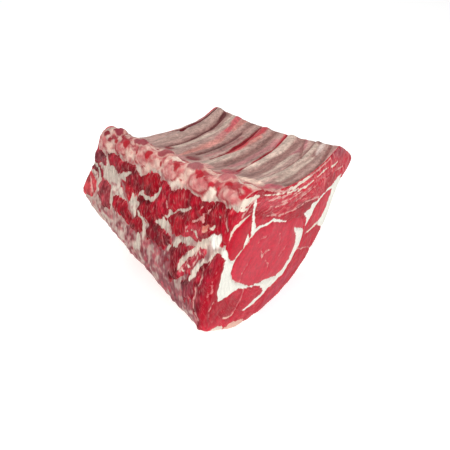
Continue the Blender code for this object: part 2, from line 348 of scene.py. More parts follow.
def grid_normals(grid):
    """Outward normals of the closed ring grid."""
    around = np.roll(grid, -1, 1) - np.roll(grid, 1, 1)
    normal = unit(np.cross(around, np.gradient(grid, axis=0)))
    centre = grid.mean(1, keepdims=True)
    return normal * np.sign(((grid - centre) * normal).sum(-1).mean())


SKIN, DEPTH = outer_grid()
SKIN_NORMAL = grid_normals(SKIN)


# ---------------------------------------------------------------- the cut face at the chuck end
# Outlines in (y, z). The fat seam lies between the outlines of the eye and oval muscles and SEAM_SIDE.
EYE_OUTLINE = (
    (12, -120), (16, -112), (21, -104), (26, -96), (31, -87), (38, -80), (46, -75), (62, -69), (80, -60),
    (98, -61), (120, -62), (150, -53), (170, -53), (185, -60), (190, -69), (176, -69.5), (158, -68.5),
    (168, -77), (178, -87), (183, -98), (183, -110), (178, -123), (172, -135), (162, -144), (145, -149),
    (122, -152), (98, -154.5), (80, -155.5), (60, -151), (40, -147), (24, -140), (15, -131),
)
OVAL_OUTLINE = (
    (-9, -85), (-7, -70), (2, -60), (11, -53), (18, -51), (22, -60), (25, -75), (24, -90), (20, -103),
    (14, -111), (6, -113), (-4, -107), (-10, -98),
)
SEAM_SIDE = (
    (-10.5, -110), (-10, -121), (-7, -134), (-4, -150), (-1, -160), (4, -168), (14, -168), (26, -163),
    (42, -158.5), (62, -157.5), (84, -157.5), (104, -159), (118, -165), (127, -170), (139, -166),
    (153, -160), (167, -152), (178, -143), (184, -131), (188, -119), (193, -107), (198, -97), (198, -86),
    (195, -75),
)
EYE_STEPS, OVAL_STEPS = 5, 5  # samples per point of the outline
SIDE_SAMPLES, BRIDGE_SAMPLES = 130, 7  # of the seam's own edges, one low and one between the muscles
# Samples of the eye and oval curves where the seam's own edges meet them.
EYE_LEFT, EYE_NOTCH = 4 * EYE_STEPS, 14 * EYE_STEPS
OVAL_RIGHT, OVAL_LOW = 6 * OVAL_STEPS, 11 * OVAL_STEPS
# The loin end repeats the layout, smaller and moved.
LOIN_SCALE, LOIN_SHIFT = (0.86, 0.80), (28, 4)
OVAL_LOIN_SCALE, OVAL_LOIN_SHIFT = (0.62, 0.62), (26.7, -15)

# Fat in the cut face, each a colour and a mark: the points (y, z, half width) of a line, the points
# (y, z) of an area, or a spot, which is an ellipse y, z, half y, half z and perhaps a turn.
FACE_FAT = (
    (CREAM, (-16, -37, 6), (0, -34, 5), (10, -29, 4), (20, -25, 2)),
    (WHITE_FAT, (12, -31, 3), (18, -39, 3), (20, -45, 2.5), (23, -53, 2), (27, -61, 2.5), (33, -69, 4),
        (36, -76, 4.5)),
    (PINK_FAT, (12, -32, 2), (4, -40, 1.5), (0, -47, 1.5), (-4, -52, 2)),
    (CREAM, (12, -51, 1), (3, -55, 1.8), (-6, -62, 2), (-11, -70, 2.2), (-14, -80, 2), (-17, -90, 2.5),
        (-19, -98, 4)),
    (CREAM, (36, -77, 2.2), (31, -85, 1.8), (26, -94, 1.5), (21, -102, 1.6), (16, -109, 2.2)),
    (WHITE_FAT, (-30, -93, 2), (-22, -98, 3.5), (-15, -103, 4.5), (-8, -108, 3)),
    (WHITE_FAT, (36, -72, 4), (45, -68, 2.6), (60, -65.5, 2.1), (70, -61, 2), (79, -56, 2.3),
        (88, -56.5, 2.3), (98, -58, 2), (110, -59, 1.4), (124, -60, 0.6)),
    (PINK_FAT, (0, -12, 1.2), (30, -15, 1), (60, -18, 1.2), (85, -15, 1.4), (100, -10, 1.8)),
    (CREAM, (95, -12, 1.4), (110, -6, 2.6), (128, 2, 3), (141, 8, 2.4), (156, 15, 1.4)),
    (PINK_FAT, (150, 13, 1.6), (170, 23, 1.8), (184, 35, 1.4), (196, 45, 1)),
    (CREAM, (92, -17, 0.8), (108, -12, 1.5), (122, -9, 1)),
    (PINK_FAT, (44, -31, 0.6), (66, -26, 0.9), (84, -23, 0.9), (102, -17, 0.8)),
    (PINK_FAT, (78, -32, 0.5), (100, -27, 0.9), (120, -19, 0.9), (140, -11, 0.7)),
    (PINK_FAT, (120, -30, 0.5), (142, -21, 0.9), (165, -8, 0.9), (185, 2, 0.6)),
    (ROSE, (170, 4, 0.8), (186, 12, 1.6), (204, 18, 1.4), (220, 26, 0.8)),
    (CREAM, (112, -18, 0.4), (130, -10, 1.3), (148, -2, 1.5), (166, 7, 0.6)),
    (CREAM, (172, 12, 0.4), (182, 20, 1.8), (193, 27, 1.2), (202, 31, 0.4)),
    (PINK_FAT, (58, -39, 0.4), (82, -36, 1.2), (104, -30, 0.5)),
    (PINK_FAT, (126, -24, 0.4), (146, -14, 1.2), (168, -2, 0.5)),
    (CREAM, (30, -24, 0.4), (50, -22, 1.2), (72, -20, 0.8), (90, -16, 0.4)),
    (PINK_FAT, (58, -52, 0.7), (75, -49, 1.3), (90, -51, 1), (105, -47, 1), (120, -43, 1.4),
        (135, -39, 1.2), (150, -34, 1.1), (165, -27, 1.3), (180, -22, 1.5), (195, -19, 1.8), (206, -17, 2)),
    (CREAM, (214, 34, 2.5), (222, 38, 2.6), (230, 45, 1)),
    (PINK_FAT, (236, 30, 1), (246, 34, 2), (256, 40, 1)),
    (CREAM, (248, -57, 3), (233, -64, 2), (219, -73, 1.6), (206, -80, 0.8)),
    (PINK_FAT, (195, -103, 0.8), (210, -105, 1.1), (226, -104, 1.3), (240, -104, 1), (252, -107, 1)),
    (WHITE_FAT, (134, -167, 4), (128, -173, 4), (120, -179, 3.4), (108, -186, 3), (97, -190, 2.6),
        (88, -194, 1.6), (78, -195, 0.8)),
    (PEACH, (32, -197, 1), (42, -199, 2), (50, -199, 1.6), (57, -196, 0.8)),
    (ROSE, (64, -160, 0.8), (65, -170, 1), (63, -180, 1.3), (58, -190, 1), (52, -197, 1)),
    (ROSE, (-14, -120, 0.2), (-20, -138, 0.5), (-16, -152, 0.4), (-22, -168, 0.5)),
    (PINK_FAT, (-5, -168, 0.6), (-9, -180, 0.8), (-3, -190, 0.6)),
    (PINK_FAT, (74, -101, 0.3), (79, -107, 0.8), (84, -112, 0.3)),
    (PINK_FAT, (80, -109, 0.5), (90, -104, 0.8), (101, -102, 0.3)),
    (ROSE, (42, -132, 0.3), (48, -121, 0.7), (52, -112, 0.2)),
    (PINK_FAT, (46, -147, 0.7), (44, -139, 0.5), (40, -132, 0.2)),
    (ROSE, (98, -118, 0.3), (108, -124, 0.7), (114, -131, 0.2)),
    (ROSE, (112, -78, 0.3), (120, -84, 0.6), (124, -92, 0.2)),
    (ROSE, (58, -88, 0.3), (66, -82, 0.6), (76, -80, 0.2)),
    (ROSE, (136, -112, 0.2), (144, -106, 0.5), (150, -98, 0.2)),
    (WHITE_FAT, (172, -45), (182, -41), (190, -38), (194, -31), (200, -25), (209, -20), (215, -14),
        (222, -9), (230, -3), (238, 2), (248, 12), (256, 21), (266, 28), (266, 18), (252, 6), (244, -1),
        (236, -5), (226, -10), (218, -18), (212, -26), (208, -33), (206, -42), (203, -52), (200, -60),
        (197, -67), (194, -58), (190, -52), (182, -49)),
    (WHITE_FAT, (247, 6), (262, 20), (285, 20), (285, -58), (262, -66), (248, -64), (241, -58), (247, -50),
        (250, -38), (251, -22), (249, -8)),
    (PEACH, 72, -216, 27, 6, 3), (CREAM, 30, -216, 15, 6, -8), (ROSE, 112, -214, 16, 5, 12),
    (PEACH, 150, 24, 8, 2, 28), (CREAM, -8, -44, 7, 3),
)
# Tints of the meat in the cut face: (colour, softness, spot).
FACE_TINTS = (
    (LEAN_DARK, 0.6, 168, -32, 32, 8, 8), (DEEP_RED, 0.8, 150, -48, 40, 9, 10),
    (BRIGHT_RED, 1.0, 160, 2, 55, 9, 24), (DEEP_RED, 0.7, 228, 12, 17, 12, 45),
    (BAND_RED, 1.0, 215, 48, 60, 18, 8), (FACE_RED, 0.8, 235, -32, 12, 30, -10),
    (DEEP_RED, 1.0, -14, -150, 26, 60, 5), (DEEP_RED, 1.0, 30, -182, 40, 16, -8),
    (BRIGHT_RED, 1.0, 20, -212, 60, 9, 3), (DEEP_RED, 0.8, 30, -20, 28, 5),
    (DEEP_RED, 0.8, 45, -46, 26, 9, 5), (BRIGHT_RED, 0.7, 185, 5, 26, 8, 28),
    (DEEP_RED, 0.7, 10, -45, 12, 7, 30), (BAND_RED, 1.0, 200, -150, 60, 40, 35),
    ((0.58, 0.045, 0.07), 1.0, 66, -32, 46, 8, 6), ((0.36, 0.035, 0.06), 1.0, 216, 58, 26, 9, 8),
    ((0.5, 0.03, 0.065), 1.0, 178, -165, 60, 9, 42),
)
# Lines across the face: above the top of the belt there is marbling, less of it along the belt.
PLAIN_BELT = ((0, -46, 0), (90, -50, 0), (150, -32, 0), (200, -20, 0), (260, 20, 0))
BELT_TOP = ((0, -48), (60, -52), (90, -51), (130, -40), (170, -25), (205, -16), (260, 30))
FACE_GRAIN = 22  # degrees in (y, z) along which the muscle fibres run
FACE_MIDDLE = (100, -100)  # the fibres of the outer muscles run round this point
OUTER_MUSCLES = 95  # they lie further than this from a point 40 above it
GRAIN_RADIUS = 120  # units of way round per radian, for the fibres


def strand_curves(loin):
    """Outlines of the eye and oval muscles and the seam's own edge at one cut end."""
    eye, oval, side = (np.array(c, float) for c in (EYE_OUTLINE, OVAL_OUTLINE, SEAM_SIDE))
    if loin:
        eye = eye * LOIN_SCALE + LOIN_SHIFT
        side = side * LOIN_SCALE + LOIN_SHIFT
        oval = oval * OVAL_LOIN_SCALE + OVAL_LOIN_SHIFT
    eye = smooth_closed(eye, [EYE_STEPS] * len(EYE_OUTLINE))
    oval = smooth_closed(oval, [OVAL_STEPS] * len(OVAL_OUTLINE))
    side = smooth_open([oval[OVAL_LOW], *side, eye[EYE_NOTCH]], SIDE_SAMPLES)[1:-1]
    s = np.linspace(0, 1, BRIDGE_SAMPLES)[1:-1, None]
    bridge = eye[EYE_LEFT] * (1 - s) + oval[OVAL_RIGHT] * s
    return eye, oval, side, bridge


def strand_loops(eye, oval, side, bridge):
    """Index loops of the eye, oval, seam and of the opening that they fill, given index arrays."""
    n, m = len(eye), len(oval)
    eye_under = eye[np.arange(EYE_NOTCH, n + EYE_LEFT + 1) % n]
    eye_over = eye[np.arange(EYE_NOTCH, EYE_LEFT - 1, -1)]
    oval_under = oval[np.arange(OVAL_RIGHT, OVAL_LOW + 1)]
    oval_over = oval[np.arange(OVAL_RIGHT, OVAL_LOW - m - 1, -1) % m]
    seam = np.concatenate([eye_under, bridge, oval_under, side])
    opening = np.concatenate([eye_over, bridge, oval_over, side])
    return eye, oval, seam, opening


def numbered(parts):
    """The index range of each part when they are stacked."""
    starts = np.cumsum([0] + [len(part) for part in parts])
    return [np.arange(a, b) for a, b in zip(starts[:-1], starts[1:])]


def seam_outline():
    curves = strand_curves(False)
    return np.vstack(curves)[strand_loops(*numbered(curves))[2]]


SEAM_OUTLINE = seam_outline()


# ---------------------------------------------------------------- paint
# The numbers in the paint functions are strengths from 0 to 1, distances in units, and the size in
# units and the seed of each noise.
FIBRE_STRETCH = 0.14  # patterns are longer along the fibres by one over this
NO_FAT = -9.0  # how far outside any fat plain lean lies


def fibres(along, across, through):
    """Coordinates in which the muscle fibres run along the first axis, drawn out."""
    return np.stack([along * FIBRE_STRETCH, across, through], -1)


def blank(shape, field=NO_FAT, marble=0.0):
    """Paint for a set of points: meat and fat tints, how far into fat, and marbling.

    Each paint function adds the relief and the coordinates of the fibres.
    """
    return {
        "lean": even(BAND_RED, shape),
        "fat": even(CREAM, shape),
        "field": np.full(shape, field),
        "marble": np.full(shape, marble),
    }


def add_fat(paint, field, colour):
    """Lay fat of a colour where the field is positive."""
    take = ramp(-3.0, 0.5, field) * ramp(-4, 1, field - paint["field"])
    paint["fat"] = mix(paint["fat"], colour, take)
    paint["field"] = np.maximum(paint["field"], field)


def add_marks(paint, a, b, marks, raised=0.0):
    """Lay fat where the marks are, with their fields raised by so much."""
    for colour, *mark in marks:
        add_fat(paint, mark_field(a, b, mark) + raised, colour)


def paint_face(y, z, where):
    """The cut across the muscles, at (y, z) of the chuck end."""
    paint = blank(y.shape)
    y = y + 1.1 * fractal(where, 14, 3)
    z = z + 1.1 * fractal(where, 14, 8)
    for colour, soft, *spot in FACE_TINTS:
        field = spot_field(y, z, spot) / min(spot[2:4])
        paint["lean"] = mix(paint["lean"], colour, ramp(-0.6 * soft, 0.6 * soft, field))
    eye = area_field(y, z, EYE_OUTLINE)
    oval = area_field(y, z, OVAL_OUTLINE)
    muscles = ((FACE_RED, ramp(-1, 1, eye)), (OVAL_RED, ramp(-1, 1, oval)))
    paint["lean"] = coats(paint["lean"], muscles)
    add_fat(paint, area_field(y, z, SEAM_OUTLINE), WHITE_FAT)
    add_marks(paint, y, z, FACE_FAT)
    inside = np.maximum(eye, oval)
    belt = ramp(6, -2, line_field(y, z, PLAIN_BELT))
    above = ramp(-2, 4, z - np.interp(y, *zip(*BELT_TOP)))
    marble = (0.3 + 0.5 * above * belt) * (1 - 0.7 * ramp(-1, 1, paint["field"]))
    paint["marble"] = np.where(inside > 0, 0.08, marble)
    seam = -1.1 * bell(inside, 2.2) + 0.9 * ramp(0, 16, inside)
    edge = -0.7 * bell(paint["field"], 2.0) + 0.5 * ramp(0, 4, paint["field"])
    a, b = y - FACE_MIDDLE[0], z - FACE_MIDDLE[1]
    outer = fibres(np.arctan2(b, a) * GRAIN_RADIUS, np.hypot(a, b), where[..., 0])
    fibre = fibres(*turned(y, z, FACE_GRAIN), where[..., 0])
    fibre = np.where((np.hypot(a, b - 40) > OUTER_MUSCLES)[..., None], outer, fibre)
    paint["fibre"] = np.where((inside > 0)[..., None], where, fibre)
    rough = np.where(inside > 0, 0.12, 0.35)
    paint["relief"] = seam + edge + 0.9 * fractal(where, 26, 5, 2) + rough * fractal(where, 8, 6, 2)
    return paint


# ---------------------------------------------------------------- the split side
# Patches of lean between the films of the split side, areas in (x, z).
SPLIT_LEAN = (
    (PLUM, (-340, -47), (-320, -49), (-306, -55), (-300, -62), (-314, -64), (-340, -62)),
    (PLUM, (-340, -67), (-320, -68), (-305, -76), (-298, -86), (-306, -88), (-322, -78), (-340, -75)),
    ((0.3, 0.012, 0.025), (-300, -48), (-286, -45), (-270, -46), (-258, -50), (-250, -55), (-256, -60),
        (-250, -66), (-262, -68), (-280, -66), (-295, -58)),
    (LEAN_DARK, (-250, -47), (-236, -45), (-224, -50), (-226, -56), (-240, -60), (-252, -58)),
    ((0.29, 0.006, 0.018), (-238, -63), (-228, -57), (-212, -58), (-202, -64), (-199, -76), (-206, -83),
        (-222, -80), (-236, -74)),
    ((0.28, 0.002, 0.01), (-201, -60), (-192, -52), (-180, -46), (-168, -48), (-163, -58), (-164, -70),
        (-170, -78), (-185, -80), (-198, -74), (-202, -66)),
    ((0.38, 0.006, 0.022), (-162, -54), (-150, -55), (-136, -58), (-129, -64), (-128, -78), (-133, -90),
        (-148, -98), (-158, -94), (-163, -82), (-158, -68)),
    ((0.42, 0.006, 0.02), (-128, -58), (-118, -52), (-105, -49), (-98, -54), (-92, -64), (-95, -75),
        (-105, -81), (-120, -86), (-128, -80)),
    (DEEP_RED, (-98, -50), (-85, -53), (-70, -55), (-60, -52), (-45, -48), (-33, -50), (-32, -60),
        (-40, -67), (-54, -72), (-58, -84), (-70, -92), (-82, -90), (-90, -78), (-92, -64)),
    (DEEP_RED, (-60, -74), (-44, -67), (-28, -72), (-20, -80), (-28, -84), (-44, -92), (-60, -90)),
    (DEEP_RED, (-31, -52), (-15, -50), (-3, -54), (2, -75), (-4, -90), (-17, -97), (-21, -84), (-28, -72),
        (-34, -62)),
    ((0.37, 0.007, 0.019), (-250, -78), (-240, -80), (-228, -78), (-214, -84), (-205, -94), (-214, -99),
        (-226, -95), (-240, -88)),
    (CRIMSON, (-198, -86), (-184, -85), (-170, -88), (-160, -95), (-146, -100), (-130, -98), (-132, -104),
        (-148, -107), (-157, -113), (-170, -111), (-184, -104), (-195, -96)),
    ((0.28, 0.003, 0.012), (-122, -92), (-110, -85), (-98, -83), (-86, -90), (-83, -101), (-92, -109),
        (-108, -110), (-120, -102)),
    ((0.36, 0.04, 0.055), (-296, -88), (-281, -90), (-268, -98), (-260, -110), (-258, -122), (-270, -125),
        (-286, -118), (-294, -104)),
    ((0.28, 0.005, 0.015), (-252, -103), (-240, -104), (-222, -106), (-207, -114), (-196, -124),
        (-190, -134), (-204, -130), (-222, -121), (-240, -122), (-254, -118)),
    (CRIMSON, (-191, -104), (-182, -110), (-172, -118), (-168, -130), (-172, -138), (-186, -136),
        (-193, -124)),
    ((0.2, 0.005, 0.014), (-153, -114), (-140, -111), (-125, -116), (-110, -119), (-106, -126),
        (-114, -136), (-134, -136), (-150, -131), (-158, -126)),
    ((0.5, 0.06, 0.07), (-345, -94), (-320, -91), (-306, -99), (-302, -111), (-312, -120), (-345, -116)),
    (MAROON, (-100, -124), (-90, -119), (-78, -118), (-72, -124), (-78, -134), (-83, -150), (-92, -146),
        (-99, -137)),
    ((0.5, 0.035, 0.06), (-70, -118), (-60, -113), (-46, -106), (-36, -109), (-38, -118), (-49, -136),
        (-58, -148), (-68, -157), (-75, -158), (-70, -140), (-64, -126)),
    ((0.5, 0.04, 0.06), (-84, -92), (-72, -92), (-58, -90), (-44, -94), (-48, -103), (-60, -107),
        (-74, -104), (-84, -105)),
    ((0.36, 0.009, 0.026), (-13, -108), (-25, -119), (-34, -132), (-36, -150), (-31, -170), (-26, -186),
        (-16, -215), (20, -215), (20, -100), (-6, -104)),
    (PLUM, (-44, -132), (-37, -134), (-36, -150), (-32, -168), (-38, -184), (-52, -178), (-58, -166),
        (-50, -156)),
    (MAROON, (-84, -146), (-75, -149), (-71, -160), (-78, -167), (-88, -160)),
)
# Films and fat over the split side, marks in (x, z) as for the cut face.
SPLIT_LINES = (
    (GREY_CREAM, (-252, -72, 4), (-240, -65, 4), (-230, -59, 2)),
    (FASCIA, (-250, -76, 2), (-237, -90, 2.5), (-222, -101, 2.5), (-207, -110, 2), (-196, -122, 2)),
    (GREY_CREAM, (-199, -82, 3), (-186, -84, 3), (-172, -85, 3), (-165, -78, 3), (-161, -65, 2.5)),
    (GREY_CREAM, (-188, -110, 2), (-177, -118, 3), (-165, -127, 4), (-158, -134, 4)),
    (GREY_CREAM, (-130, -97, 1.5), (-122, -90, 2), (-108, -82, 1.4), (-95, -77, 1.3), (-86, -71, 0.8)),
    (GREY_CREAM, (-264, -92, 2), (-259, -104, 3.5), (-254, -117, 3), (-250, -127, 2)),
    (GREY_CREAM, (-340, -64, 1.5), (-322, -72, 2), (-308, -82, 2.5), (-298, -95, 2.5), (-297, -108, 1.5)),
    (PINK_FAT, (-324, -94, 1), (-312, -104, 1.3), (-305, -118, 1)),
    ((0.7, 0.57, 0.47), (-30, -92, 4), (-37, -99, 5), (-47, -107, 5.5), (-57, -117, 5), (-65, -129, 4.5),
        (-70, -141, 3.5), (-74, -151, 1.5)),
    ((0.76, 0.66, 0.56), (-10, -100, 3.5), (-20, -107, 3), (-31, -119, 3), (-40, -132, 4.5),
        (-44, -145, 5), (-47, -156, 2.5)),
    (PINK_FAT, (-44, -112, 0.6), (-50, -121, 1.4), (-57, -131, 0.6)),
    (PINK_FAT, (-40, -116, 0.4), (-46, -128, 1.2), (-54, -139, 0.8)),
    (PINK_FAT, (-60, -134, 0.4), (-63, -143, 1.2), (-67, -150, 0.4)),
    (GREY_CREAM, (-84, -101, 0.8), (-74, -97, 1.4), (-62, -98, 1.2), (-52, -103, 0.6)),
    (PINK_FAT, (-25, -121, 0.8), (-27, -135, 1.4), (-25, -150, 1), (-28, -165, 1.2), (-24, -185, 1.6),
        (-18, -200, 3)),
    (PINK_FAT, (-58, -72, 1), (-66, -80, 1.4), (-76, -84, 1), (-84, -96, 1)),
    (PINK_FAT, (-48, -52, 1), (-52, -62, 1.4), (-60, -70, 1)),
    (PINK_FAT, (-24, -58, 0.8), (-20, -68, 1.2), (-12, -76, 1)),
    (PINK_FAT, (-146, -68, 0.8), (-138, -76, 1.2), (-134, -86, 0.8)),
    (GREY_CREAM, (-75, -168, 1), (-70, -175, 2.5), (-64, -166, 1.5)),
)
SPLIT_AREAS = (
    (GREY_CREAM, (-301, -68), (-280, -66), (-262, -70), (-250, -74), (-252, -82), (-270, -84), (-290, -80),
        (-303, -77)),
    (GREY_CREAM, (-214, -84), (-201, -90), (-194, -97), (-192, -106), (-192, -118), (-200, -113),
        (-208, -103), (-215, -96)),
    (GREY_CREAM, (-151, -108), (-136, -103), (-122, -103), (-112, -109), (-108, -116), (-125, -112),
        (-146, -110)),
    (GREY_CREAM, (-109, -140), (-105, -128), (-98, -118), (-86, -110), (-74, -106), (-64, -106),
        (-70, -114), (-84, -117), (-92, -125), (-99, -136)),
    (GREY_CREAM, (-281, -136), (-262, -133), (-250, -142), (-258, -152), (-277, -147)),
    (GREY_CREAM, (-228, -150), (-214, -146), (-204, -151), (-214, -158)),
    (GREY_CREAM, (-178, -143), (-168, -134), (-158, -138), (-154, -150), (-160, -166), (-172, -170),
        (-180, -156)),
)
SPLIT_SPOTS = (
    (WHITE_FAT, -27, -94, 9, 11, 20), (CREAM, -42, -79, 5, 3, 40), (WHITE_FAT, -2, -98, 8, 3, 20),
    ((0.62, 0.17, 0.13), -53, -83, 8, 3, 50), ((0.74, 0.36, 0.26), -49, -87, 2.6, 2.2, 30),
    (CREAM, -50, -124, 1.6, 1.4), (CREAM, -56, -140, 1.6, 1.4), (CREAM, -44, -117, 1.5, 1.5),
    (CREAM, -62, -146, 1.5, 1.3), (PINK_FAT, -61, -78, 3, 2, 30), (PINK_FAT, -70, -62, 3, 1.5, 60),
)
# Marks on the sawn backbone, spots in (x, way round from the chine edge): fat and pale bone, the
# bodies of the vertebrae, the joints on the crest and the marrow.
BONE_FAT = (
    (BONE_CREAM, -246, -8, 12, 9), (BONE_CREAM, -300, -14, 9, 8), (BONE_CREAM, -190, -18, 15, 9),
    (CREAM, -134, -20, 15, 8, 15), (BONE_CREAM, -113, -3, 9, 11), (CREAM, -57, -14, 12, 9, 15),
    (CREAM, -24, -25, 22, 8, 4), (CREAM, -1, -9, 8, 10), (BONE_CREAM, -208, 27, 11, 7),
    (BONE_CREAM, -90, 27, 12, 7), (CREAM, -27, 27, 13, 8), (BONE_CREAM, -160, 8, 6, 8),
    (CREAM, -148, 22, 9, 5),
)
BONE_BODIES = (
    (-320, -8, 13, 9), (-270, -8, 15, 10), (-213, -10, 14, 9), (-149, -8, 17, 9, -8), (-86, -6, 18, 10),
    (-25, -4, 20, 12),
)
BONE_OVALS = (
    (PLUM, -294, 19, 9, 6), ((0.3, 0.055, 0.07), -238, 19, 12, 9), ((0.34, 0.07, 0.08), -178, 20, 13, 11),
    ((0.38, 0.11, 0.12), -115, 16, 12, 10), ((0.5, 0.15, 0.155), -55, 20, 11, 9),
)
BONE_MARROW = (
    (MAROON, -311, 6, 8, 5), (MARROW, -258, 4, 7, 8, 15), (MARROW, -203, 3, 6, 9, 28),
    (MARROW, -140, 4, 6, 10, 32), (MARROW, -91, 7, 5.0, 8, 30), (FRESH_MARROW, -14, 13, 8, 4),
    (FRESH_MARROW, -64, 1, 3.5, 3), (MARROW, -40, 8, 5, 4), (FRESH_MARROW, -100, 10, 4, 4),
    (MARROW, -228, -1, 4, 5), (MARROW, -170, -4, 4, 5, 20), (MARROW, -284, 0, 5, 4),
    (FRESH_MARROW, -48, -2, 4, 3), (FRESH_MARROW, -6, 4, 5, 4), (MARROW, -120, -12, 4, 3),
)
# Dark lines of gristle round the bodies: lines of (x, way, half width).
BONE_ARCS = (
    ((-46, -2, 0.5), (-43, -11, 1.4), (-31, -16, 1.8), (-15, -16, 1.6), (-5, -10, 0.8)),
    ((-37, -3, 0.5), (-33, -9, 1.2), (-23, -11, 1.5), (-14, -7, 0.8)),
    ((-36, 2, 0.5), (-31, 6, 1.3), (-22, 7, 1.2), (-12, 3, 0.5)),
    ((-106, -6, 0.4), (-100, -13, 1.1), (-88, -16, 1.2), (-76, -14, 1.0), (-68, -8, 0.4)),
    ((-168, -4, 0.4), (-162, -14, 1.1), (-150, -19, 1.3), (-138, -17, 1.1), (-130, -9, 0.5)),
    ((-232, -6, 0.4), (-226, -16, 1.1), (-213, -20, 1.2), (-200, -16, 0.6)),
    ((-286, -6, 0.4), (-281, -15, 1.2), (-270, -19, 1.2), (-257, -15, 0.6)),
)
# How far round the sawn bone reaches on the split side: (x, way).
BONE_EDGE = (
    (-340, -22), (-305, -30), (-290, -21), (-250, -20), (-225, -22), (-205, -28), (-190, -21), (-175, -16),
    (-160, -19), (-140, -26), (-120, -21), (-100, -16), (-60, -17), (-40, -14), (0, -14),
)
# Where the ribs join the backbone: spots in (x, way).
JOINT_MARKS = (
    (MAROON, -253, 92, 9, 9), ((0.27, 0.018, 0.03), -190, 90, 12, 12, 20),
    ((0.46, 0.08, 0.1), -108, 90, 15, 12), ((0.84, 0.6, 0.49), -62, 80, 22, 9),
    ((0.5, 0.09, 0.12), -25, 84, 12, 14), ((0.56, 0.25, 0.24), -208, 74, 14, 8),
    (PINK_FAT, -150, 78, 16, 9), (PLUM, -130, 62, 16, 7), (PLUM, -186, 58, 14, 8), (PLUM, -244, 56, 14, 8),
    (CREAM, -155, 52, 14, 6), (CREAM, -95, 56, 14, 6), (BONE_CREAM, -210, 48, 14, 6),
    (ROSE, -60, 52, 14, 7), (CREAM, -36, 46, 10, 5),
)
SPLIT_GRAIN = -68  # degrees in (x, z) along which the torn lean of the split side runs
BODY_HEIGHT, JOINT_HEIGHT, HOLLOW_DEPTH = 4.2, 8.0, 1.6


def bone_colours(x, way, where):
    """Sawn bone, marrow and gristle along the backbone, darker towards the loin end."""
    far = ramp(-150, -320, x)
    mottle = fractal(where, 12, 33)
    colours = coats(even(BONE_PINK, x.shape), (
        (BONE_CREAM, 0.45 * ramp(2, -14, way)),
        (BONE_DULL, far),
        (BONE_CREAM, (0.85 - 0.3 * far) * ramp(0.12, 0.5, mottle)),
        (BONE_BLOOD, 0.85 * ramp(0.10, 0.45, -mottle)),
        (MAROON, 0.7 * far * ramp(0.15, 0.4, noise(where, 9, 34))),
        (GREY_CREAM, 0.7 * far * ramp(0.2, 0.5, noise(where, 8, 37))),
    ))
    x = x + 1.5 * fractal(where, 10, 35)
    way = way + 1.5 * fractal(where, 10, 38)
    patchy = 3.0 * noise(where, 8, 39) + 1.5 * noise(where, 4, 42)
    broken = ramp(-0.35, 0.35, noise(where, 11, 49))
    for colour, *spot in BONE_FAT + JOINT_MARKS:
        field = spot_field(x, way, spot) + patchy
        colours = mix(colours, colour, 0.9 * ramp(-1.5, 1.5, field))
    for spot in BONE_BODIES:
        field = spot_field(x, way, spot) + 0.25 * patchy
        colours = coats(colours, (
            (BONE_DISC, 0.7 * ramp(-0.5, 1.0, field)),
            (GRISTLE_RING, 0.95 * bell(field + 0.4, 1.3) * (0.35 + 0.65 * broken)),
            (BONE_RING, 0.75 * bell(field - 4.2, 1.1) * (1 - 0.7 * broken)),
        ))
    speckle = fractal(where, 6, 65)
    colours = coats(colours, (
        (PORE_PALE, (0.40 + 0.15 * far) * ramp(0.12, 0.50, speckle)),
        (PORE_DARK, (0.35 + 0.25 * far) * ramp(0.15, 0.50, -speckle)),
    ))
    for line in BONE_ARCS:
        field = line_field(x, way, line) + 0.2 * patchy
        colours = mix(colours, GRISTLE, 0.9 * ramp(-0.8, 0.8, field))
    for colour, *spot in BONE_OVALS:
        field = spot_field(x, way, spot) + 0.5 * patchy
        rim = 0.55 * bell(field + 1.2, 1.5)
        colours = coats(colours, ((BONE_CREAM, rim), (colour, 0.95 * ramp(-1.0, 1.2, field))))
    for colour, *spot in BONE_MARROW:
        field = spot_field(x, way, spot) + 0.35 * patchy
        colours = mix(colours, colour, 0.95 * ramp(-0.8, 0.8, field))
    return colours * (1 + 0.14 * fractal(where, 5, 36))[..., None]


def bone_relief(x, way):
    """Each half vertebra and its joint on the crest stand out, with hollows between them."""
    relief = np.full(x.shape, -HOLLOW_DEPTH)
    for centre, length in zip(VERTEBRA_CENTRES, VERTEBRA_LENGTHS):
        body = np.exp(-((x - centre) / (0.42 * length)) ** 4) * np.exp(-(way / 22) ** 4)
        relief = np.maximum(relief, BODY_HEIGHT * body - HOLLOW_DEPTH)
    for _, x0, way0, half_x, half_way in BONE_OVALS:
        joint = bell(x - x0, 1.25 * half_x) * bell(way - way0 - 4, 1.7 * half_way)
        relief = relief + JOINT_HEIGHT * joint
    return relief


def split_film(x, z, where):
    """Colours of the film over the split side: pale above, dark and dusky low down."""
    low = ramp(-98, -142, z - 0.06 * (x + 160))
    dusky = low * ramp(-170, -140, x)
    mottle = 0.5 * fractal(where * (1, 1, 0.6), 16, 21)
    mottle = mottle + 0.5 * noise(where, 6, 22) + 0.5 * noise(where, 3.4, 23)
    return coats(even(FILM_PALE, x.shape), (
        (FASCIA, 0.8 * low),
        (FILM_DUSKY, dusky),
        (FASCIA, ramp(0.0, 0.6, -mottle) * (1 - low) * 0.8),
        (FILM_PALE, ramp(0.15, 0.55, mottle) * low * (0.8 - 0.25 * dusky)),
        (FILM_BROWN, ramp(0.05, 0.5, -mottle) * low * 0.9),
        (MAROON, ramp(0.30, 0.8, -mottle) * low * 0.7),
        (FILM_ROSE, ramp(0.2, 0.6, fractal(where, 9, 27)) * low * 0.7),
    ))


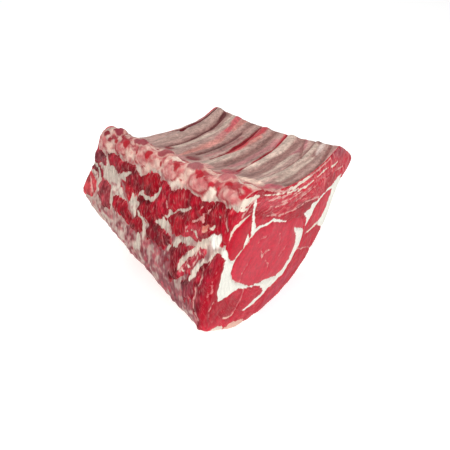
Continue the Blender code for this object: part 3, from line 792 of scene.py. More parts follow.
def paint_split(x, z, way, where):
    """The side along which the backbone was split: lean, films, fat and sawn bone."""
    paint = blank(x.shape, field=5.0)
    fibre = fibres(*turned(x, z, SPLIT_GRAIN), where[..., 1])
    ragged = 2.6 * noise(fibre * (1.3, 1, 1), 4.2, 24) + 1.2 * noise(fibre * (1.6, 1, 1), 2.2, 25)
    x = x + 3.0 * fractal(where, 20, 11) + 1.0 * fractal(where, 6, 12)
    z = z + 2.6 * fractal(where, 18, 15) + 0.9 * fractal(where, 6, 16)
    paint["fat"] = split_film(x, z, where)
    for colour, *outline in SPLIT_LEAN:
        field = area_field(x, z, outline) + 3.0 + ragged * 0.8
        paint["lean"] = mix(paint["lean"], colour, ramp(-1.0, 3.0, field))
        paint["field"] = np.minimum(paint["field"], -field)
    add_marks(paint, x, z, SPLIT_AREAS, ragged - 0.5)
    add_marks(paint, x, z, SPLIT_LINES, 0.3 * ragged)
    add_marks(paint, x, z, SPLIT_SPOTS)
    bone_edge = np.interp(x, *zip(*BONE_EDGE))
    bone = ramp(-5, 5, way - bone_edge + 5 * fractal(where, 16, 31) + ragged)
    paint["fat"] = mix(paint["fat"], bone_colours(x, way, where), bone)
    field = paint["field"] = np.maximum(paint["field"], 12 * bone - 6)
    paint["marble"] = 0.5 + 0.25 * ramp(0, 3, field) * (1 - bone) - 0.35 * bone
    paint["fibre"] = np.where((bone > 0.5)[..., None], where, fibre)
    # The lean is mottled darker and lighter at random; the bell term is painted shade, darkening the lean
    # next to the films' edges.
    dark = 1 + 0.42 * fractal(where, 8, 47) + 0.25 * fractal(where, 18, 48)
    dark = np.maximum(dark - 0.20 * bell(field + 2, math.sqrt(6)), 0.35)
    paint["lean"] = paint["lean"] * dark[..., None]
    paint["relief"] = (
        bone_relief(x, way) * bone + 2.6 * ramp(-1, 6, -field) * (1 - bone)
        - 1.2 * bell(field, 2.2)
        + 1.8 * fractal(where, 24, 41) + 1.0 * fractal(where, 8, 44) + 0.25 * ragged
    )
    return paint


# ---------------------------------------------------------------- the inside of the ribs
# Lines over the plate in (x, way): crests of the ribs and soft valleys between them; paint_plate darkens
# the valleys brown as painted shade.
CRESTS = (
    ((-289, 96), (-291, 130), (-295, 175), (-299, 215), (-303, 262)),
    ((-228, 96), (-232, 130), (-238, 175), (-245, 215), (-252, 262)),
    ((-158, 96), (-159, 130), (-162, 175), (-169, 215), (-178, 262)),
    ((-103, 96), (-104, 130), (-108, 175), (-112, 215), (-119, 262)),
    ((-49, 96), (-50, 130), (-53, 175), (-58, 215), (-65, 262)),
)
VALLEYS = (
    ((-262, 90), (-262, 125), (-266, 155), (-271, 180), (-276, 215), (-281, 262)),
    ((-205, 90), (-204, 120), (-206, 160), (-209, 190), (-214, 250)),
    ((-136, 90), (-138, 140), (-142, 175), (-148, 210), (-155, 255)),
    ((-77, 90), (-80, 120), (-86, 160), (-92, 200), (-99, 250)),
    ((-30, 96), (-36, 140), (-43, 180), (-51, 215), (-58, 250)),
)
# Scored grooves, and soft grooves partly darkened brown as painted shade: colour, strength and line of (x,
# way, half width).
GROOVES = (
    ((0.15, 0.03, 0.035), 1.0, (-320, 150, 2), (-313, 175, 4), (-311, 205, 4.5), (-313, 240, 4),
        (-314, 262, 3)),
    ((0.14, 0.01, 0.016), 1.0, (-322, 184, 5), (-315, 180, 6), (-307, 172, 4), (-297, 159, 1)),
    ((0.13, 0.035, 0.035), 1.0, (-262, 96, 0.4), (-265, 140, 1.0), (-270, 172, 1.8), (-273, 205, 2.8),
        (-278, 232, 1.6), (-284, 250, 2.2), (-290, 262, 1.0)),
    ((0.14, 0.045, 0.045), 0.8, (-205, 110, 0.8), (-205, 150, 1.6), (-208, 200, 2.0), (-212, 225, 1)),
    ((0.22, 0.007, 0.014), 1.0, (-168, 108, 1.0), (-172, 130, 1.6), (-177, 165, 2.0), (-183, 200, 2.2),
        (-187, 226, 1.6), (-192, 262, 0.8)),
    ((0.28, 0.01, 0.02), 1.0, (-101, 96, 1.2), (-106, 118, 1.6), (-111, 142, 1.8), (-117, 178, 1.9),
        (-122, 205, 1.9), (-127, 240, 1.4), (-130, 262, 0.8)),
    (MEMBRANE_SHADE_AND_LINES, 0.8, (-55, 110, 0.5), (-58, 150, 1), (-61, 190, 1), (-66, 225, 1.2), (-72, 262, 0.8)),
    (MEMBRANE_SHADE_AND_LINES, 0.8, (-94, 256, 1), (-82, 228, 1.1), (-70, 204, 1), (-58, 186, 0.6)),
    (MEMBRANE_SHADE_AND_LINES, 0.6, (-90, 110, 0.6), (-94, 150, 1.1), (-98, 196, 1.1), (-104, 240, 0.8)),
    (MEMBRANE_SHADE_AND_LINES, 0.6, (-142, 110, 0.8), (-144, 150, 1.4), (-150, 205, 1.4), (-158, 250, 0.8)),
    (MEMBRANE_SHADE_AND_LINES, 0.5, (-236, 112, 0.6), (-241, 150, 1.0), (-245, 190, 0.8)),
    (MEMBRANE_SHADE_AND_LINES, 0.5, (-192, 120, 0.6), (-195, 160, 1.0), (-199, 210, 0.8)),
    (MEMBRANE_SHADE_AND_LINES, 1.0, (-17, 100, 0.8), (-20, 150, 1.4), (-24, 175, 2), (-29, 198, 2), (-34, 225, 1.6),
        (-41, 262, 1)),
)
# Lighter and redder strips on the plate: colour and line of (x, way, half width).
STRIPS = (
    ((0.43, 0.285, 0.245), (-288, 100, 10), (-293, 150, 11), (-296, 200, 11), (-301, 262, 10)),
    (MEMBRANE_PALE, (-250, 100, 6), (-252, 150, 7), (-255, 200, 6), (-260, 262, 5)),
    (SALMON, (-215, 82, 2), (-218, 130, 3.5), (-222, 180, 4), (-226, 196, 3)),
    ((0.48, 0.19, 0.18), (-229, 182, 3), (-234, 205, 6), (-238, 222, 6)),
    ((0.54, 0.1, 0.115), (-236, 214, 4), (-240, 236, 6), (-246, 262, 7)),
    (SALMON, (-229, 222, 3), (-231, 240, 5), (-234, 262, 5)),
    (MEMBRANE_PALE, (-158, 84, 7), (-157, 125, 8), (-159, 150, 6), (-161, 178, 4)),
    (SALMON, (-166, 176, 5), (-168, 205, 7), (-170, 224, 5)),
    ((0.6, 0.06, 0.075), (-165, 140, 3), (-167, 165, 6), (-170, 185, 6), (-174, 200, 3)),
    ((0.58, 0.065, 0.08), (-175, 212, 4), (-176, 238, 7), (-180, 262, 8)),
    ((0.5, 0.09, 0.1), (-119, 200, 3), (-124, 225, 4.5), (-131, 262, 5)),
    ((0.66, 0.5, 0.42), (-102, 108, 4), (-105, 150, 6), (-108, 200, 6.5), (-114, 240, 7), (-118, 262, 7)),
    (MEMBRANE_PALE, (-52, 96, 5), (-51, 140, 5), (-55, 190, 5), (-62, 240, 4)),
    (MEMBRANE_PALE, (-70, 120, 2), (-74, 160, 3), (-80, 200, 2)),
    ((0.62, 0.5, 0.45), (-48, 212, 1), (-51, 235, 4), (-54, 262, 3)),
    ((0.48, 0.2, 0.2), (-126, 110, 6), (-130, 170, 6), (-136, 230, 6)),
    ((0.5, 0.26, 0.24), (-12, 110, 3), (-17, 170, 4), (-22, 220, 5), (-28, 262, 6)),
    ((0.42, 0.16, 0.17), (-84, 196, 0.5), (-78, 218, 3), (-84, 240, 4), (-90, 262, 3)),
    (MEMBRANE_PALE, (-38, 110, 2), (-43, 160, 3), (-48, 200, 2)),
    ((0.44, 0.2, 0.19), (-186, 110, 3), (-190, 160, 4), (-196, 210, 4)),
)
RIB_HEIGHT, RIB_SLOPES = 4.2, (8, 10)  # and how wide the two sides of a rib's crest are
VALLEY_DEPTH, VALLEY_WIDTH = 1.8, 8
GROOVE_DEPTH, GROOVE_SLOPE = 2.6, 1.8


def beside(x, way, line):
    """Sideways distance in x from a line that runs across the plate."""
    xs, ways = zip(*line)
    return x - np.interp(way, ways, xs)


def plate_relief(x, way):
    """Raised ribs, sunken valleys and grooves, fading out towards both edges of the plate."""
    relief = np.zeros(x.shape)
    for line in CRESTS:
        gap = beside(x, way, line)
        relief = np.maximum(relief, RIB_HEIGHT * bell(gap, np.where(gap < 0, *RIB_SLOPES)))
    for line in VALLEYS:
        relief = relief - VALLEY_DEPTH * bell(beside(x, way, line), VALLEY_WIDTH)
    for _, strength, *line in GROOVES:
        outside = np.minimum(line_field(x, way, line), 0)
        relief = relief - GROOVE_DEPTH * strength * bell(outside, GROOVE_SLOPE) * (outside > -6)
    return relief * ramp(80, 118, way) * (1 - 0.5 * ramp(248, 260, way))


def paint_plate(x, way, where):
    """The membrane over the inside of the ribs, with painted shade darkening the valleys and soft grooves.
    """
    paint = blank(x.shape, field=8.0, marble=0.75)
    relief = plate_relief(x + 0.8 * fractal(where, 25, 52), way)
    stretched = where * (1, 0.16, 0.16)
    x = x + 1.6 * fractal(where, 34, 51) + 0.7 * noise(stretched, 6, 53)
    worn = 1.5 * noise(stretched, 5, 54)
    film = even(MEMBRANE, x.shape)
    # painted shade: each valley between the ribs is darkened brown
    for line in VALLEYS:
        film = mix(film, MEMBRANE_SHADE_AND_LINES, 0.75 * bell(beside(x, way, line), VALLEY_WIDTH))
    for colour, *line in STRIPS:
        film = mix(film, colour, 0.95 * ramp(-3.5, 2.0, line_field(x, way, line) + worn))
    # the dark red grooves are scored lines; the brown ones are partly lines in the membrane, partly painted
    # shade
    for colour, strength, *line in GROOVES:
        film = mix(film, colour, strength * ramp(-2.6, -0.4, line_field(x, way, line)))
    near = 0.9 * ramp(110, 85, way)
    for colour, *spot in JOINT_MARKS:
        film = mix(film, colour, near * ramp(-3, 2, spot_field(x, way, spot)))
    shade = 0.96 + 0.20 * fractal(stretched, 5, 55) + 0.08 * fractal(where, 30, 56)
    paint["fat"] = film * shade[..., None]
    paint["fibre"] = fibres(way, x, where[..., 2])
    paint["relief"] = relief + 0.5 * fractal(where * (1, 0.3, 0.3), 9, 57)
    return paint


# ---------------------------------------------------------------- rib ends, fat side and borders
def paint_end(way, where):
    """The sawn edge across the rib ends: layers of lean and fat under the membrane."""
    paint = blank(way.shape, marble=0.8)
    depth = way - WAY[CORNERS[1]] + 1.5 * fractal(where, 12, 61)
    add_fat(paint, 2.0 - np.abs(depth - 2), PINK_FAT)
    add_fat(paint, 1.6 - np.abs(depth - 27 - 3 * fractal(where, 40, 62)), CREAM)
    add_fat(paint, depth - 45 + 5 * fractal(where, 26, 63), CREAM)
    paint["fibre"] = fibres(where[..., 0], where[..., 2], where[..., 1])
    paint["relief"] = 0.9 * fractal(where, 14, 64) - 0.8 * bell(paint["field"], 2.0)
    return paint


def paint_cover(way, where):
    """The fat side: a cream cover with lean showing through where it is thin."""
    paint = blank(way.shape, marble=0.7)
    broad = fractal(where * (0.7, 1, 1), 60, 71) + 0.35 * fractal(where, 18, 73)
    paint["field"] = 9 * (broad + 0.22)
    paint["fat"] = coats(paint["fat"], (
        (PEACH, ramp(0.0, 0.9, fractal(where, 30, 75)) * 0.7),
        (WHITE_FAT, ramp(0.1, 0.8, fractal(where, 22, 77)) * 0.6),
    ))
    paint["lean"] = mix(paint["lean"], DEEP_RED, ramp(-0.2, 0.5, fractal(where, 24, 79)))
    paint["fibre"] = fibres(where[..., 0], where[..., 1], where[..., 2])
    relief = 1.2 * ramp(-3, 4, paint["field"]) - 0.8
    paint["relief"] = relief + 1.6 * fractal(where, 38, 81) + 0.5 * fractal(where, 10, 83)
    return paint


def blend_paint(paints):
    """Weighted average of (paint, weight) pairs; the fibres are those of the strongest."""
    total = sum(weight for _, weight in paints) + TINY
    result = {}
    for key in ("lean", "fat", "field", "marble", "relief"):
        result[key] = 0
        for paint, weight in paints:
            share = weight / total
            if paint[key].ndim > share.ndim:
                share = share[..., None]
            result[key] = result[key] + paint[key] * share
    strongest = np.argmax(np.stack([weight for _, weight in paints]), 0)
    result["fibre"] = np.select(
        [(strongest == number)[..., None] for number in range(len(paints))],
        [paint["fibre"] for paint, _ in paints],
    )
    return result


def loin_coordinates(y, z):
    """Where a point of the loin cut lies in the layout of the chuck cut."""
    return (y - LOIN_SHIFT[0]) / LOIN_SCALE[0], (z - LOIN_SHIFT[1]) / LOIN_SCALE[1]


# Ways round over which each region of the skin takes over from the one before it.
PLATE_START, END_START, COVER_START, SPLIT_START = (58, 84), (257, 261), (309, 316), (704, 716)
PLATE_MIDDLE = 200  # the split side comes before this, and again after the cover
CUT_BORDER = (0.45, 0.95)  # share of an edge's rounding over which the paint of the cut face ends


def paint_skin():
    """Paint of the outer surface, region by region, with soft borders."""
    x, y, z = SKIN[..., 0], SKIN[..., 1], SKIN[..., 2]
    way, split_way = (np.broadcast_to(values, x.shape) for values in (RING_WAY, SPLIT_WAY))
    chuck = 1 - ramp(*CUT_BORDER, DEPTH / CHUCK_ROUNDING)
    loin = 1 - ramp(*CUT_BORDER, (SPINE_LENGTH - DEPTH) / LOIN_ROUND)
    between = (1 - chuck) * (1 - loin)
    to_plate = ramp(*PLATE_START, way + 5 * fractal(SKIN, 22, 91))
    to_end = ramp(*END_START, way)
    to_cover = ramp(*COVER_START, way)
    to_split = ramp(*SPLIT_START, way)
    split = (1 - to_plate) * (way < PLATE_MIDDLE) + to_split
    return blend_paint([
        (paint_face(y, z, SKIN), chuck),
        (paint_face(*loin_coordinates(y, z), SKIN), loin),
        (paint_split(x, z, split_way, SKIN), between * split),
        (paint_plate(x, way, SKIN), between * to_plate * (1 - to_end)),
        (paint_end(way, SKIN), between * to_end * (1 - to_cover)),
        (paint_cover(way, SKIN), between * to_cover * (1 - to_split)),
    ])


# ---------------------------------------------------------------- the two cut faces
FACE_STEP, LOIN_STEP = 1.35, 2.4  # distance between the points of each cut face
ROW_STEP = 0.866  # rows of a triangular lattice are this share of a step apart
JITTER = 0.18  # how far a lattice point may stray, as a share of a step
LATTICE_SEED = 7
EDGE_CLEARANCE = 0.5  # free points stay this share of a step away from every edge
STRANDS = ("ribeye", "oval_muscle", "seam_fat", "lean")


def hex_points(low, high, step, seed):
    """A jittered triangular lattice over a rectangle."""
    rng = np.random.default_rng(seed)
    points = []
    for number, row in enumerate(np.arange(low[1], high[1], step * ROW_STEP)):
        line = np.arange(low[0] + (number % 2) * step / 2, high[0], step)
        points.append(np.stack([line, np.full(line.shape, row)], -1))
    points = np.vstack(points)
    return points + rng.uniform(-JITTER, JITTER, points.shape) * step


def chain(indices, closed=False):
    pairs = list(zip(indices[:-1], indices[1:]))
    return pairs + [(indices[-1], indices[0])] if closed else pairs


def cut_face(ring, loin):
    """One cut end as (points (y, z), triangles, strand of each triangle, index loops)."""
    curves = strand_curves(loin)
    step = LOIN_STEP if loin else FACE_STEP
    fixed = np.vstack([ring, *curves])
    border, eye, oval, side, bridge = numbered([ring, *curves])
    edges = chain(border, True) + chain(eye, True) + chain(oval, True)
    edges += chain([oval[OVAL_LOW], *side, eye[EYE_NOTCH]])
    edges += chain([eye[EYE_LEFT], *bridge, oval[OVAL_RIGHT]])
    free = hex_points(ring.min(0), ring.max(0), step, LATTICE_SEED + loin)
    free = free[area_field(*free.T, ring) > EDGE_CLEARANCE * step]
    near = np.full(len(free), FAR_AWAY)
    for edge in edges[len(ring):]:
        near = np.minimum(near, segment_gap(*free.T, *fixed[list(edge)])[0])
    points = np.vstack([fixed, free[near > EDGE_CLEARANCE * step]])
    _, _, faces, origins, _, _ = delaunay_2d_cdt(
        [Vector(p) for p in points], [(int(a), int(b)) for a, b in edges], [], 0, 1e-5
    )
    source = np.array([origin[0] if origin else -1 for origin in origins])
    triangles = source[np.array(faces)]
    middle = points[triangles].mean(1).T
    loops = strand_loops(eye, oval, side, bridge)
    strand = np.full(len(triangles), -1)
    outlines = [points[loop] for loop in loops[:3]] + [ring]
    for number in reversed(range(len(STRANDS))):
        strand[area_field(*middle, outlines[number]) > 0] = number
    return points, triangles, strand, loops


# ---------------------------------------------------------------- pieces let into the surface
FEATHER_EDGE = (
    (-30, -90), (-8, -97), (-14, -108), (-28, -125), (-40, -150), (-48, -166), (-64, -166), (-84, -156),
    (-82, -140), (-66, -116), (-48, -98),
)
RIB_WIDTH = 10  # half width of a rib on the plate
RIB_WAYS = (74, 257)  # where the ribs start and end, way round
INLAY_MARGINS = (4, 2)  # how far inlays stay from the chuck and loin cuts
VERTEBRA_WAY, VERTEBRA_WIDTH = 15, 34  # middle and half width of the vertebrae, way round
FEATHER_WAY = -30  # the feather bone stays below this
VERTEBRA_AXIS = (16, -30)  # the line in (y, z) towards which half vertebrae are bedded
INLAY_SINK = 9  # depth of the beds of the other inlays
INLAY_FILL = 0.97  # how much of the depth of its bed an inlay fills


def inlay_masks():
    """Which points of the skin belong to each vertebra, rib and feather bone."""
    x, z = SKIN[..., 0], SKIN[..., 2]
    masks = {}
    across = np.abs(RING_WAY - VERTEBRA_WAY) / VERTEBRA_WIDTH
    for number, (centre, length) in enumerate(zip(VERTEBRA_CENTRES, VERTEBRA_LENGTHS)):
        along = np.abs(x - centre + 3 * noise(SKIN, 15, 5)) / (length / 2)
        masks[f"vertebra_{number + 1}"] = along ** 4 + across ** 4 < 1
    on_plate = (RING_WAY > RIB_WAYS[0]) & (RING_WAY < RIB_WAYS[1])
    for number, line in enumerate(CRESTS):
        gap = beside(x, RING_WAY, line)
        masks[f"rib_{number + 1}"] = (np.abs(gap) < RIB_WIDTH) & on_plate
    masks["feather_bone"] = (area_field(x, z, FEATHER_EDGE) > 0) & (SPLIT_WAY < FEATHER_WAY)
    inside = (DEPTH > INLAY_MARGINS[0]) & (DEPTH < SPINE_LENGTH - INLAY_MARGINS[1])
    return {name: mask & inside for name, mask in masks.items()}


def grid_index(station, sample):
    return station * SKIN.shape[1] + sample % SKIN.shape[1]


def grid_quads(mask=None):
    """Quads of the skin, all of them or those whose corners are all in the mask."""
    rows, columns = SKIN.shape[:2]
    s, k = np.meshgrid(np.arange(rows - 1), np.arange(columns), indexing="ij")
    m = (k + 1) % columns
    if mask is not None:
        take = mask[s, k] & mask[s, m] & mask[s + 1, m] & mask[s + 1, k]
        s, k, m = s[take], k[take], m[take]
    quads = [grid_index(s, k), grid_index(s + 1, k), grid_index(s + 1, m), grid_index(s, m)]
    return np.stack([q.ravel() for q in quads], -1)


def split_quads(quads):
    return np.vstack([quads[:, [0, 1, 2]], quads[:, [0, 2, 3]]])


def triangle_share(triangles):
    """For each point of the skin, how many of the given triangles meet there."""
    return np.bincount(triangles.ravel(), minlength=DEPTH.size)


FULL_SHARE = triangle_share(split_quads(grid_quads()))


def thin_joins(triangles, inside):
    """Which triangles share an edge whose two ends both lie on the border of the inlay."""
    edges = np.sort(np.stack([triangles, np.roll(triangles, -1, 1)], -1), -1).reshape(-1, 2)
    _, number, count = np.unique(edges, axis=0, return_inverse=True, return_counts=True)
    shared = (count[number.ravel()] == 2) & ~inside[edges].any(1)
    return shared.reshape(-1, 3).any(1)


def inlay_surface(mask):
    """Triangles of an inlay that has thickness everywhere, and how deep each point is bedded."""
    triangles = split_quads(grid_quads(mask))
    while True:
        inside = triangle_share(triangles) == FULL_SHARE
        triangles = triangles[inside[triangles].any(1)]
        thin = thin_joins(triangles, inside)
        if not thin.any() and (inside == (triangle_share(triangles) == FULL_SHARE)).all():
            break
        triangles = triangles[~thin]
    deep = triangle_share(triangles[inside[triangles].all(1)]) == FULL_SHARE
    return triangles, 0.5 * inside + 0.5 * deep


# ---------------------------------------------------------------- the surface that all pieces share
STRAND_SAG = 6  # how far the strands dip halfway through the roast
STRAND_MIDDLE = (0.2, 0.4, 0.6, 0.8)
# Each cut end: its station on the skin, its plane, which way it faces and its rounding.
ENDS = ((0, CHUCK_CUT, 1, CHUCK_ROUNDING), (-1, LOIN_CUT, -1, LOIN_ROUNDING))


class Surface:
    """Points, normals and paint that all pieces of the roast share."""

    def __init__(self):
        self.points, self.directions, self.paints = [], [], []

    def add(self, points, directions, paint):
        """Add points with the direction that relief moves them in; returns their indices."""
        directions = np.broadcast_to(directions, points.shape).reshape(-1, 3)
        points = points.reshape(-1, 3)
        first = sum(len(part) for part in self.points)
        self.points.append(points)
        self.directions.append(directions)
        self.paints.append({key: value.reshape(len(points), -1) for key, value in paint.items()})
        return first + np.arange(len(points))

    def close(self):
        self.points = np.vstack(self.points)
        self.directions = np.vstack(self.directions)
        self.paint = {key: np.vstack([part[key] for part in self.paints]) for key in self.paints[0]}


def to_world(points):
    world = points @ (np.array(REST.to_3x3()) * UNIT).T + np.array(REST.translation)
    return np.clip(world, *np.array(CAD_BOX))


def edge_drop(y, z, ring, rounding):
    """How far a cut face falls away towards its rounded edge at points (y, z)."""
    gap = np.full(y.shape, FAR_AWAY)
    radius = np.ones(y.shape)
    for (ring_y, ring_z), limit in zip(ring, rounding):
        distance = np.hypot(y - ring_y, z - ring_z)
        radius = np.where(distance < gap, limit, radius)
        gap = np.minimum(gap, distance)
    inset = gap + rounded(radius, CUT_ANGLES[0])[1]
    sine = np.clip(1 - inset / radius, 0, 1)
    return radius * (1 - np.sqrt(1 - sine ** 2))


def facing(points, faces, normal):
    """The triangles, each turned so that it faces along the normal of its first point."""
    a, b, c = (points[faces[:, k]] for k in range(3))
    wrong = (np.cross(b - a, c - a) * normal[faces[:, 0]]).sum(-1) < 0
    return np.where(wrong[:, None], faces[:, ::-1], faces)


def cut_normal(cut, sign):
    return unit(np.array([1, -cut[1], -cut[2]]) * sign)


def lay_out():
    """The shared surface, each strand's triangles, and its loops at both ends."""
    surface = Surface()
    directions = SKIN_NORMAL.copy()
    for station, cut, sign, _ in ENDS:
        directions[station] = unit(SKIN_NORMAL[station] + cut_normal(cut, sign))
    surface.add(SKIN, directions, paint_skin())
    faces = {name: [] for name in STRANDS}
    faces["lean"].append(split_quads(grid_quads()))
    loops = []
    for station, cut, sign, rounding in ENDS:
        loin = sign < 0
        ring = SKIN[station][:, 1:]
        points, triangles, strand, outlines = cut_face(ring, loin)
        y, z = points[len(ring):].T
        x = cut_plane(cut, y, z) - sign * edge_drop(y, z, ring, rounding)
        placed = np.stack([x, y, z], -1)
        where = loin_coordinates(y, z) if loin else (y, z)
        new = surface.add(placed, cut_normal(cut, sign), paint_face(*where, placed))
        shared = np.concatenate([grid_index(station % len(SKIN), np.arange(len(ring))), new])
        for number, name in enumerate(STRANDS):
            faces[name].append(shared[triangles[strand == number]])
        loops.append([shared[outline] for outline in outlines])
    surface.close()
    return surface, {name: np.vstack(parts) for name, parts in faces.items()}, zip(*loops)


def vertex_normals(points, faces):
    a, b, c = (points[faces[:, k]] for k in range(3))
    normal = np.cross(b - a, c - a)
    total = np.zeros(points.shape)
    for k in range(3):
        np.add.at(total, faces[:, k], normal)
    return unit(total)


def tube(points, near, far):
    """Rings between two end loops: new points, to be added after the given ones, and the faces."""
    rows = [near]
    extra = []
    for number, t in enumerate(STRAND_MIDDLE):
        ring = points[near] * (1 - t) + points[far] * t
        ring[:, 2] -= 4 * t * (1 - t) * STRAND_SAG
        extra.append(ring)
        rows.append(len(points) + number * len(near) + np.arange(len(near)))
    rows.append(far)
    faces = []
    for row, following in zip(rows, rows[1:]):
        quads = np.stack([row, following, np.roll(following, -1), np.roll(row, -1)], -1)
        faces.append(split_quads(quads))
    return np.vstack(extra), np.vstack(faces)


# ---------------------------------------------------------------- materials
LEAN_ROUGHNESS = 0.42
FAT_ROUGHNESS = {
    "lean_meat": 0.50,
    "eye_meat": 0.50,
    "seam_fat": 0.50,
    "rib_membrane": 0.48,
    "sawn_bone": 0.50,
}
SHINE = {"Coat Weight": 0.03, "Coat Roughness": 0.25, "Specular IOR Level": 0.08}
BUMP = {"Strength": 0.5, "Distance": 0.0009}


class Graph:
    """Short ways to add the nodes that the materials need."""

    def __init__(self, name):
        self.material = bpy.data.materials.new(name)
        self.material.use_nodes = True
        self.tree = self.material.node_tree
        self.shader = self.tree.nodes["Principled BSDF"]

    def fill(self, node, inputs):
        """Set or link inputs of a node."""
        for key, value in dict(inputs).items():
            if isinstance(value, bpy.types.NodeSocket):
                self.tree.links.new(value, node.inputs[key])
            else:
                node.inputs[key].default_value = value

    def node(self, kind, inputs=(), output=0, **settings):
        node = self.tree.nodes.new("ShaderNode" + kind)
        for name, value in settings.items():
            setattr(node, name, value)
        self.fill(node, inputs)
        return node.outputs[output]

    def attribute(self, name, output="Fac"):
        return self.node("Attribute", output=output, attribute_name=name)

    def noise(self, vector, scale, detail=3.0):
        return self.node("TexNoise", {"Vector": vector, "Scale": scale, "Detail": detail})

    def math(self, operation, a, b=0.0, c=0.0):
        return self.node("Math", {0: a, 1: b, 2: c}, operation=operation)

    def add(self, a, b):
        return self.math("ADD", a, b)

    def times(self, a, b):
        return self.math("MULTIPLY", a, b)

    def span(self, value, low, high, to_low=0.0, to_high=1.0):
        inputs = {0: value, 1: low, 2: high, 3: to_low, 4: to_high}
        return self.node("MapRange", inputs, interpolation_type="SMOOTHSTEP")

    def blend(self, factor, a, b):
        return self.node("Mix", {0: factor, 6: a, 7: b}, output=2, data_type="RGBA")

    def scaled(self, colour, factor):
        return self.node("VectorMath", {0: colour, "Scale": factor}, operation="SCALE")


def flesh(name):
    """Wet meat, fat, membrane or bone, told apart by what is painted on the surface."""
    graph = Graph(name)
    add, times, span, noise_of = graph.add, graph.times, graph.span, graph.noise
    place = graph.attribute("place", "Vector")
    fibre = graph.attribute("fibre", "Vector")
    marbling = graph.attribute("marbling")
    coarse = noise_of(place, 1.3, 4.0)
    fine = noise_of(place, 6.0, 3.0)
    streak = noise_of(fibre, 2.6, 4.0)
    thin = noise_of(fibre, 7.0, 2.0)
    # Where the surface is fat.
    edge = add(graph.attribute("fatness"), span(coarse, 0.3, 0.7, -0.9, 0.9))
    edge = add(edge, span(streak, 0.3, 0.7, -0.5, 0.5))
    fat = span(edge, -0.7, 0.7)
    # Marbling: flecks and veins along the fibres and webs round the bundles.
    flecks = times(span(thin, 0.58, 0.68), marbling)
    raised = graph.math("MULTIPLY_ADD", marbling, 0.10, streak)
    veins = times(span(raised, 0.66, 0.74), marbling)
    bundles = graph.node("TexVoronoi", {"Vector": fibre, "Scale": 1.7}, feature="DISTANCE_TO_EDGE")
    webs = times(span(bundles, 0.01, 0.05, 1.0, 0.0), times(marbling, 0.40))
    flecks = graph.math("MAXIMUM", graph.math("MAXIMUM", flecks, veins), webs)
    # Lean and fat, each streaked along the fibres.
    grain = span(marbling, 0.0, 0.6, 0.12, 0.5)
    lean_shade = graph.math("MULTIPLY_ADD", span(streak, 0.25, 0.75, -0.5, 0.5), grain, 1.0)
    lean_shade = times(lean_shade, span(coarse, 0.3, 0.7, 0.90, 1.10))
    lean = graph.scaled(graph.attribute("lean_tint", "Color"), lean_shade)
    lean = graph.blend(flecks, lean, graph.blend(0.62, lean, (*PINK_FAT, 1)))
    lines = span(add(times(streak, 0.6), times(thin, 0.4)), 0.3, 0.7, -0.5, 0.5)
    fat_shade = graph.math("MULTIPLY_ADD", lines, span(marbling, 0.0, 1.0, 0.16, 0.75), 1.0)
    fat_shade = times(span(fine, 0.25, 0.75, 0.93, 1.07), fat_shade)
    colour = graph.blend(fat, lean, graph.scaled(graph.attribute("fat_tint", "Color"), fat_shade))
    rough = span(fat, 0.0, 1.0, LEAN_ROUGHNESS, FAT_ROUGHNESS[name])
    rough = add(rough, span(coarse, 0.2, 0.8, -0.06, 0.08))
    height = times(add(times(streak, 0.6), times(fine, 0.3)), span(marbling, 0.0, 0.6, 0.25, 1.0))
    height = add(height, times(fat, 0.25))
    bump = graph.node("Bump", {**BUMP, "Height": height})
    graph.fill(graph.shader, {"Base Color": colour, "Roughness": rough, "Normal": bump, **SHINE})
    return graph.material


# ---------------------------------------------------------------- building the pieces
# Mesh attribute, key in the paint, type and name of its values.
ATTRIBUTES = (
    ("lean_tint", "lean", "FLOAT_COLOR", "color"), ("fat_tint", "fat", "FLOAT_COLOR", "color"),
    ("fatness", "field", "FLOAT", "value"), ("marbling", "marble", "FLOAT", "value"),
    ("fibre", "fibre", "FLOAT_VECTOR", "vector"), ("place", "place", "FLOAT_VECTOR", "vector"),
)
SLOTS = {
    "ribeye": "eye_meat", "oval_muscle": "eye_meat", "seam_fat": "seam_fat", "lean": "lean_meat",
    "rib": "rib_membrane", "vertebra": "sawn_bone", "feather_bone": "sawn_bone",
}
PATTERN_UNIT = 10  # units of the roast per unit of the procedural patterns


def turn_outward(mesh):
    shell = bmesh.new()
    shell.from_mesh(mesh)
    bmesh.ops.recalc_face_normals(shell, faces=shell.faces)
    shell.to_mesh(mesh)
    shell.free()


def make_piece(name, materials, points, outer, hidden, normals, paint):
    """One closed mesh of outer and hidden faces, named after the CAD node it stands for.

    The outer faces take the shared normals, so that no border shows between the pieces.
    """
    slot = SLOTS[name.rstrip("_0123456789")]
    faces = np.vstack([outer, hidden])
    used, local = np.unique(faces, return_inverse=True)
    place = to_world(points[used])
    mesh = bpy.data.meshes.new(name)
    mesh.from_pydata(place.tolist(), [], local.reshape(faces.shape).tolist())
    turn_outward(mesh)
    mesh.shade_smooth()
    corners = np.empty(faces.size, int)
    mesh.loops.foreach_get("vertex_index", corners)
    visible, buried = np.split(corners, [outer.size])
    shared = normals[used] @ np.array(REST.to_3x3()).T
    own = vertex_normals(place, buried.reshape(-1, 3))
    mesh.normals_split_custom_set(np.vstack([shared[visible], own[buried]]).tolist())
    for attribute, key, kind, field in ATTRIBUTES:
        values = paint[key][used]
        if kind == "FLOAT_COLOR":
            values = np.hstack([values, np.ones((len(values), 1))])
        layer = mesh.attributes.new(attribute, kind, "POINT")
        layer.data.foreach_set(field, values.astype(np.float32).ravel())
    mesh.materials.append(materials[slot])
    piece = bpy.data.objects.new(name + "_visual", mesh)
    bpy.context.scene.collection.objects.link(piece)
    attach(piece, "root")
    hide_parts(name)


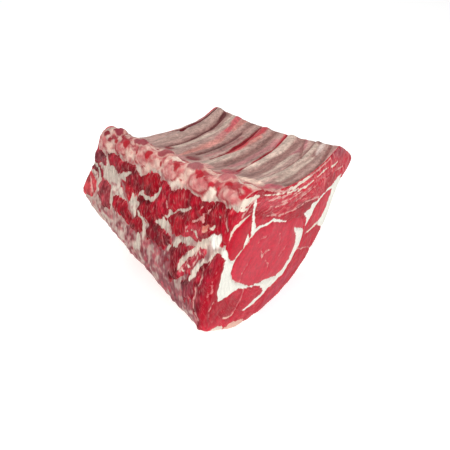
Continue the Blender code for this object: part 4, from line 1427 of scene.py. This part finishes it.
def bedding(name, points, directions):
    """From each point of an inlay to where its bed in the lean would be at full depth."""
    if not name.startswith("vertebra"):
        return -INLAY_SINK * directions
    axis = points.copy()
    axis[:, 1:] = VERTEBRA_AXIS
    return 0.5 * (axis - points)


def extended(values, chosen):
    """The rows of an array, followed by those of the chosen indices."""
    return np.vstack([values, values[chosen]])


def build_roast():
    materials = {name: flesh(name) for name in FAT_ROUGHNESS}
    surface, faces, loops = lay_out()
    paint = surface.paint
    paint["place"] = surface.points / PATTERN_UNIT
    paint["fibre"] = paint["fibre"] / PATTERN_UNIT
    points = surface.points + surface.directions * paint["relief"]
    for name in STRANDS:
        faces[name] = facing(surface.points, faces[name], surface.directions)
    normals = vertex_normals(points, np.vstack(list(faces.values())))

    skin = np.arange(DEPTH.size)
    lean_points = points.copy()
    inlays = []
    for name, mask in inlay_masks().items():
        triangles, share = inlay_surface(mask)
        inside = share > 0
        sink = bedding(name, points[skin], surface.directions[skin]) * share[:, None]
        lean_points[skin[inside]] = (points[skin] + sink)[inside]
        under = points[skin] + sink * INLAY_FILL
        top = facing(surface.points, triangles, surface.directions)
        inlays.append((name, top, under, inside))

    for name, (near, far) in zip(STRANDS, loops):
        base = lean_points if name == "lean" else points
        extra, wall = tube(base, near, far)
        again = np.tile(near, len(STRAND_MIDDLE))
        more = {key: extended(value, again) for key, value in paint.items()}
        outward = extended(normals, again)
        make_piece(name, materials, np.vstack([base, extra]), faces[name], wall, outward, more)
    for name, top, under, inside in inlays:
        bottom = np.where(inside[top], top + len(points), top)[:, ::-1]
        more = {key: extended(value, skin) for key, value in paint.items()}
        outward = np.vstack([normals, -normals[skin]])
        make_piece(name, materials, np.vstack([points, under]), top, bottom, outward, more)


# ---------------------------------------------------------------- floor, light and camera
FLOOR_SIZE = 3.0  # half its width
FLOOR_LOOK = {
    "Base Color": (0.80, 0.80, 0.80, 1), "Emission Color": (1, 1, 1, 1), "Emission Strength": 0.45,
}
WORLD_STRENGTH = 0.48
LIGHTS = (("key", (0.8, -0.8, 1.3), 0.9, 13), ("top", (-0.5, 0.3, 1.5), 1.0, 8))
CAMERA_PLACE = (0.4005, -0.40655, 0.54247)
CAMERA_TURN = (48.023, -0.3337, 42.9994)  # degrees
CAMERA_LENS, CAMERA_SENSOR = 38.4, 36


def put(name, data):
    """A new object in the scene."""
    thing = bpy.data.objects.new(name, data)
    bpy.context.scene.collection.objects.link(thing)
    return thing


def build_stage():
    mesh = bpy.data.meshes.new("floor")
    corners = [(x * FLOOR_SIZE, y * FLOOR_SIZE, 0) for x, y in ((-1, -1), (1, -1), (1, 1), (-1, 1))]
    mesh.from_pydata(corners, [], [(0, 1, 2, 3)])
    graph = Graph("floor")
    mottle = graph.noise(graph.node("TexCoord", output="Object"), 40.0)
    graph.fill(graph.shader, {"Roughness": graph.span(mottle, 0.2, 0.8, 0.55, 0.65), **FLOOR_LOOK})
    mesh.materials.append(graph.material)
    floor = put("floor", mesh)


def add_light(name, place, size, power):
    light = bpy.data.lights.new(name, "AREA")
    light.shape = "DISK"
    light.size = size
    light.energy = power
    lamp = put(name, light)
    lamp.location = place
    lamp.rotation_euler = (-lamp.location).to_track_quat("-Z", "Y").to_euler()


def build_view():
    world = bpy.data.worlds.new("studio")
    world.use_nodes = True
    background = world.node_tree.nodes["Background"]
    background.inputs["Color"].default_value = (1, 1, 1, 1)
    background.inputs["Strength"].default_value = WORLD_STRENGTH
    bpy.context.scene.world = world
    bpy.context.scene.view_settings.view_transform = "Standard"
    for light in LIGHTS:
        add_light(*light)
    lens = bpy.data.cameras.new("camera")
    lens.lens = CAMERA_LENS
    lens.sensor_width = CAMERA_SENSOR
    camera = put("camera", lens)
    camera.location = CAMERA_PLACE
    camera.rotation_euler = [math.radians(angle) for angle in CAMERA_TURN]
    bpy.context.scene.camera = camera


build_roast()
build_stage()
build_view()
bpy.context.view_layer.update()
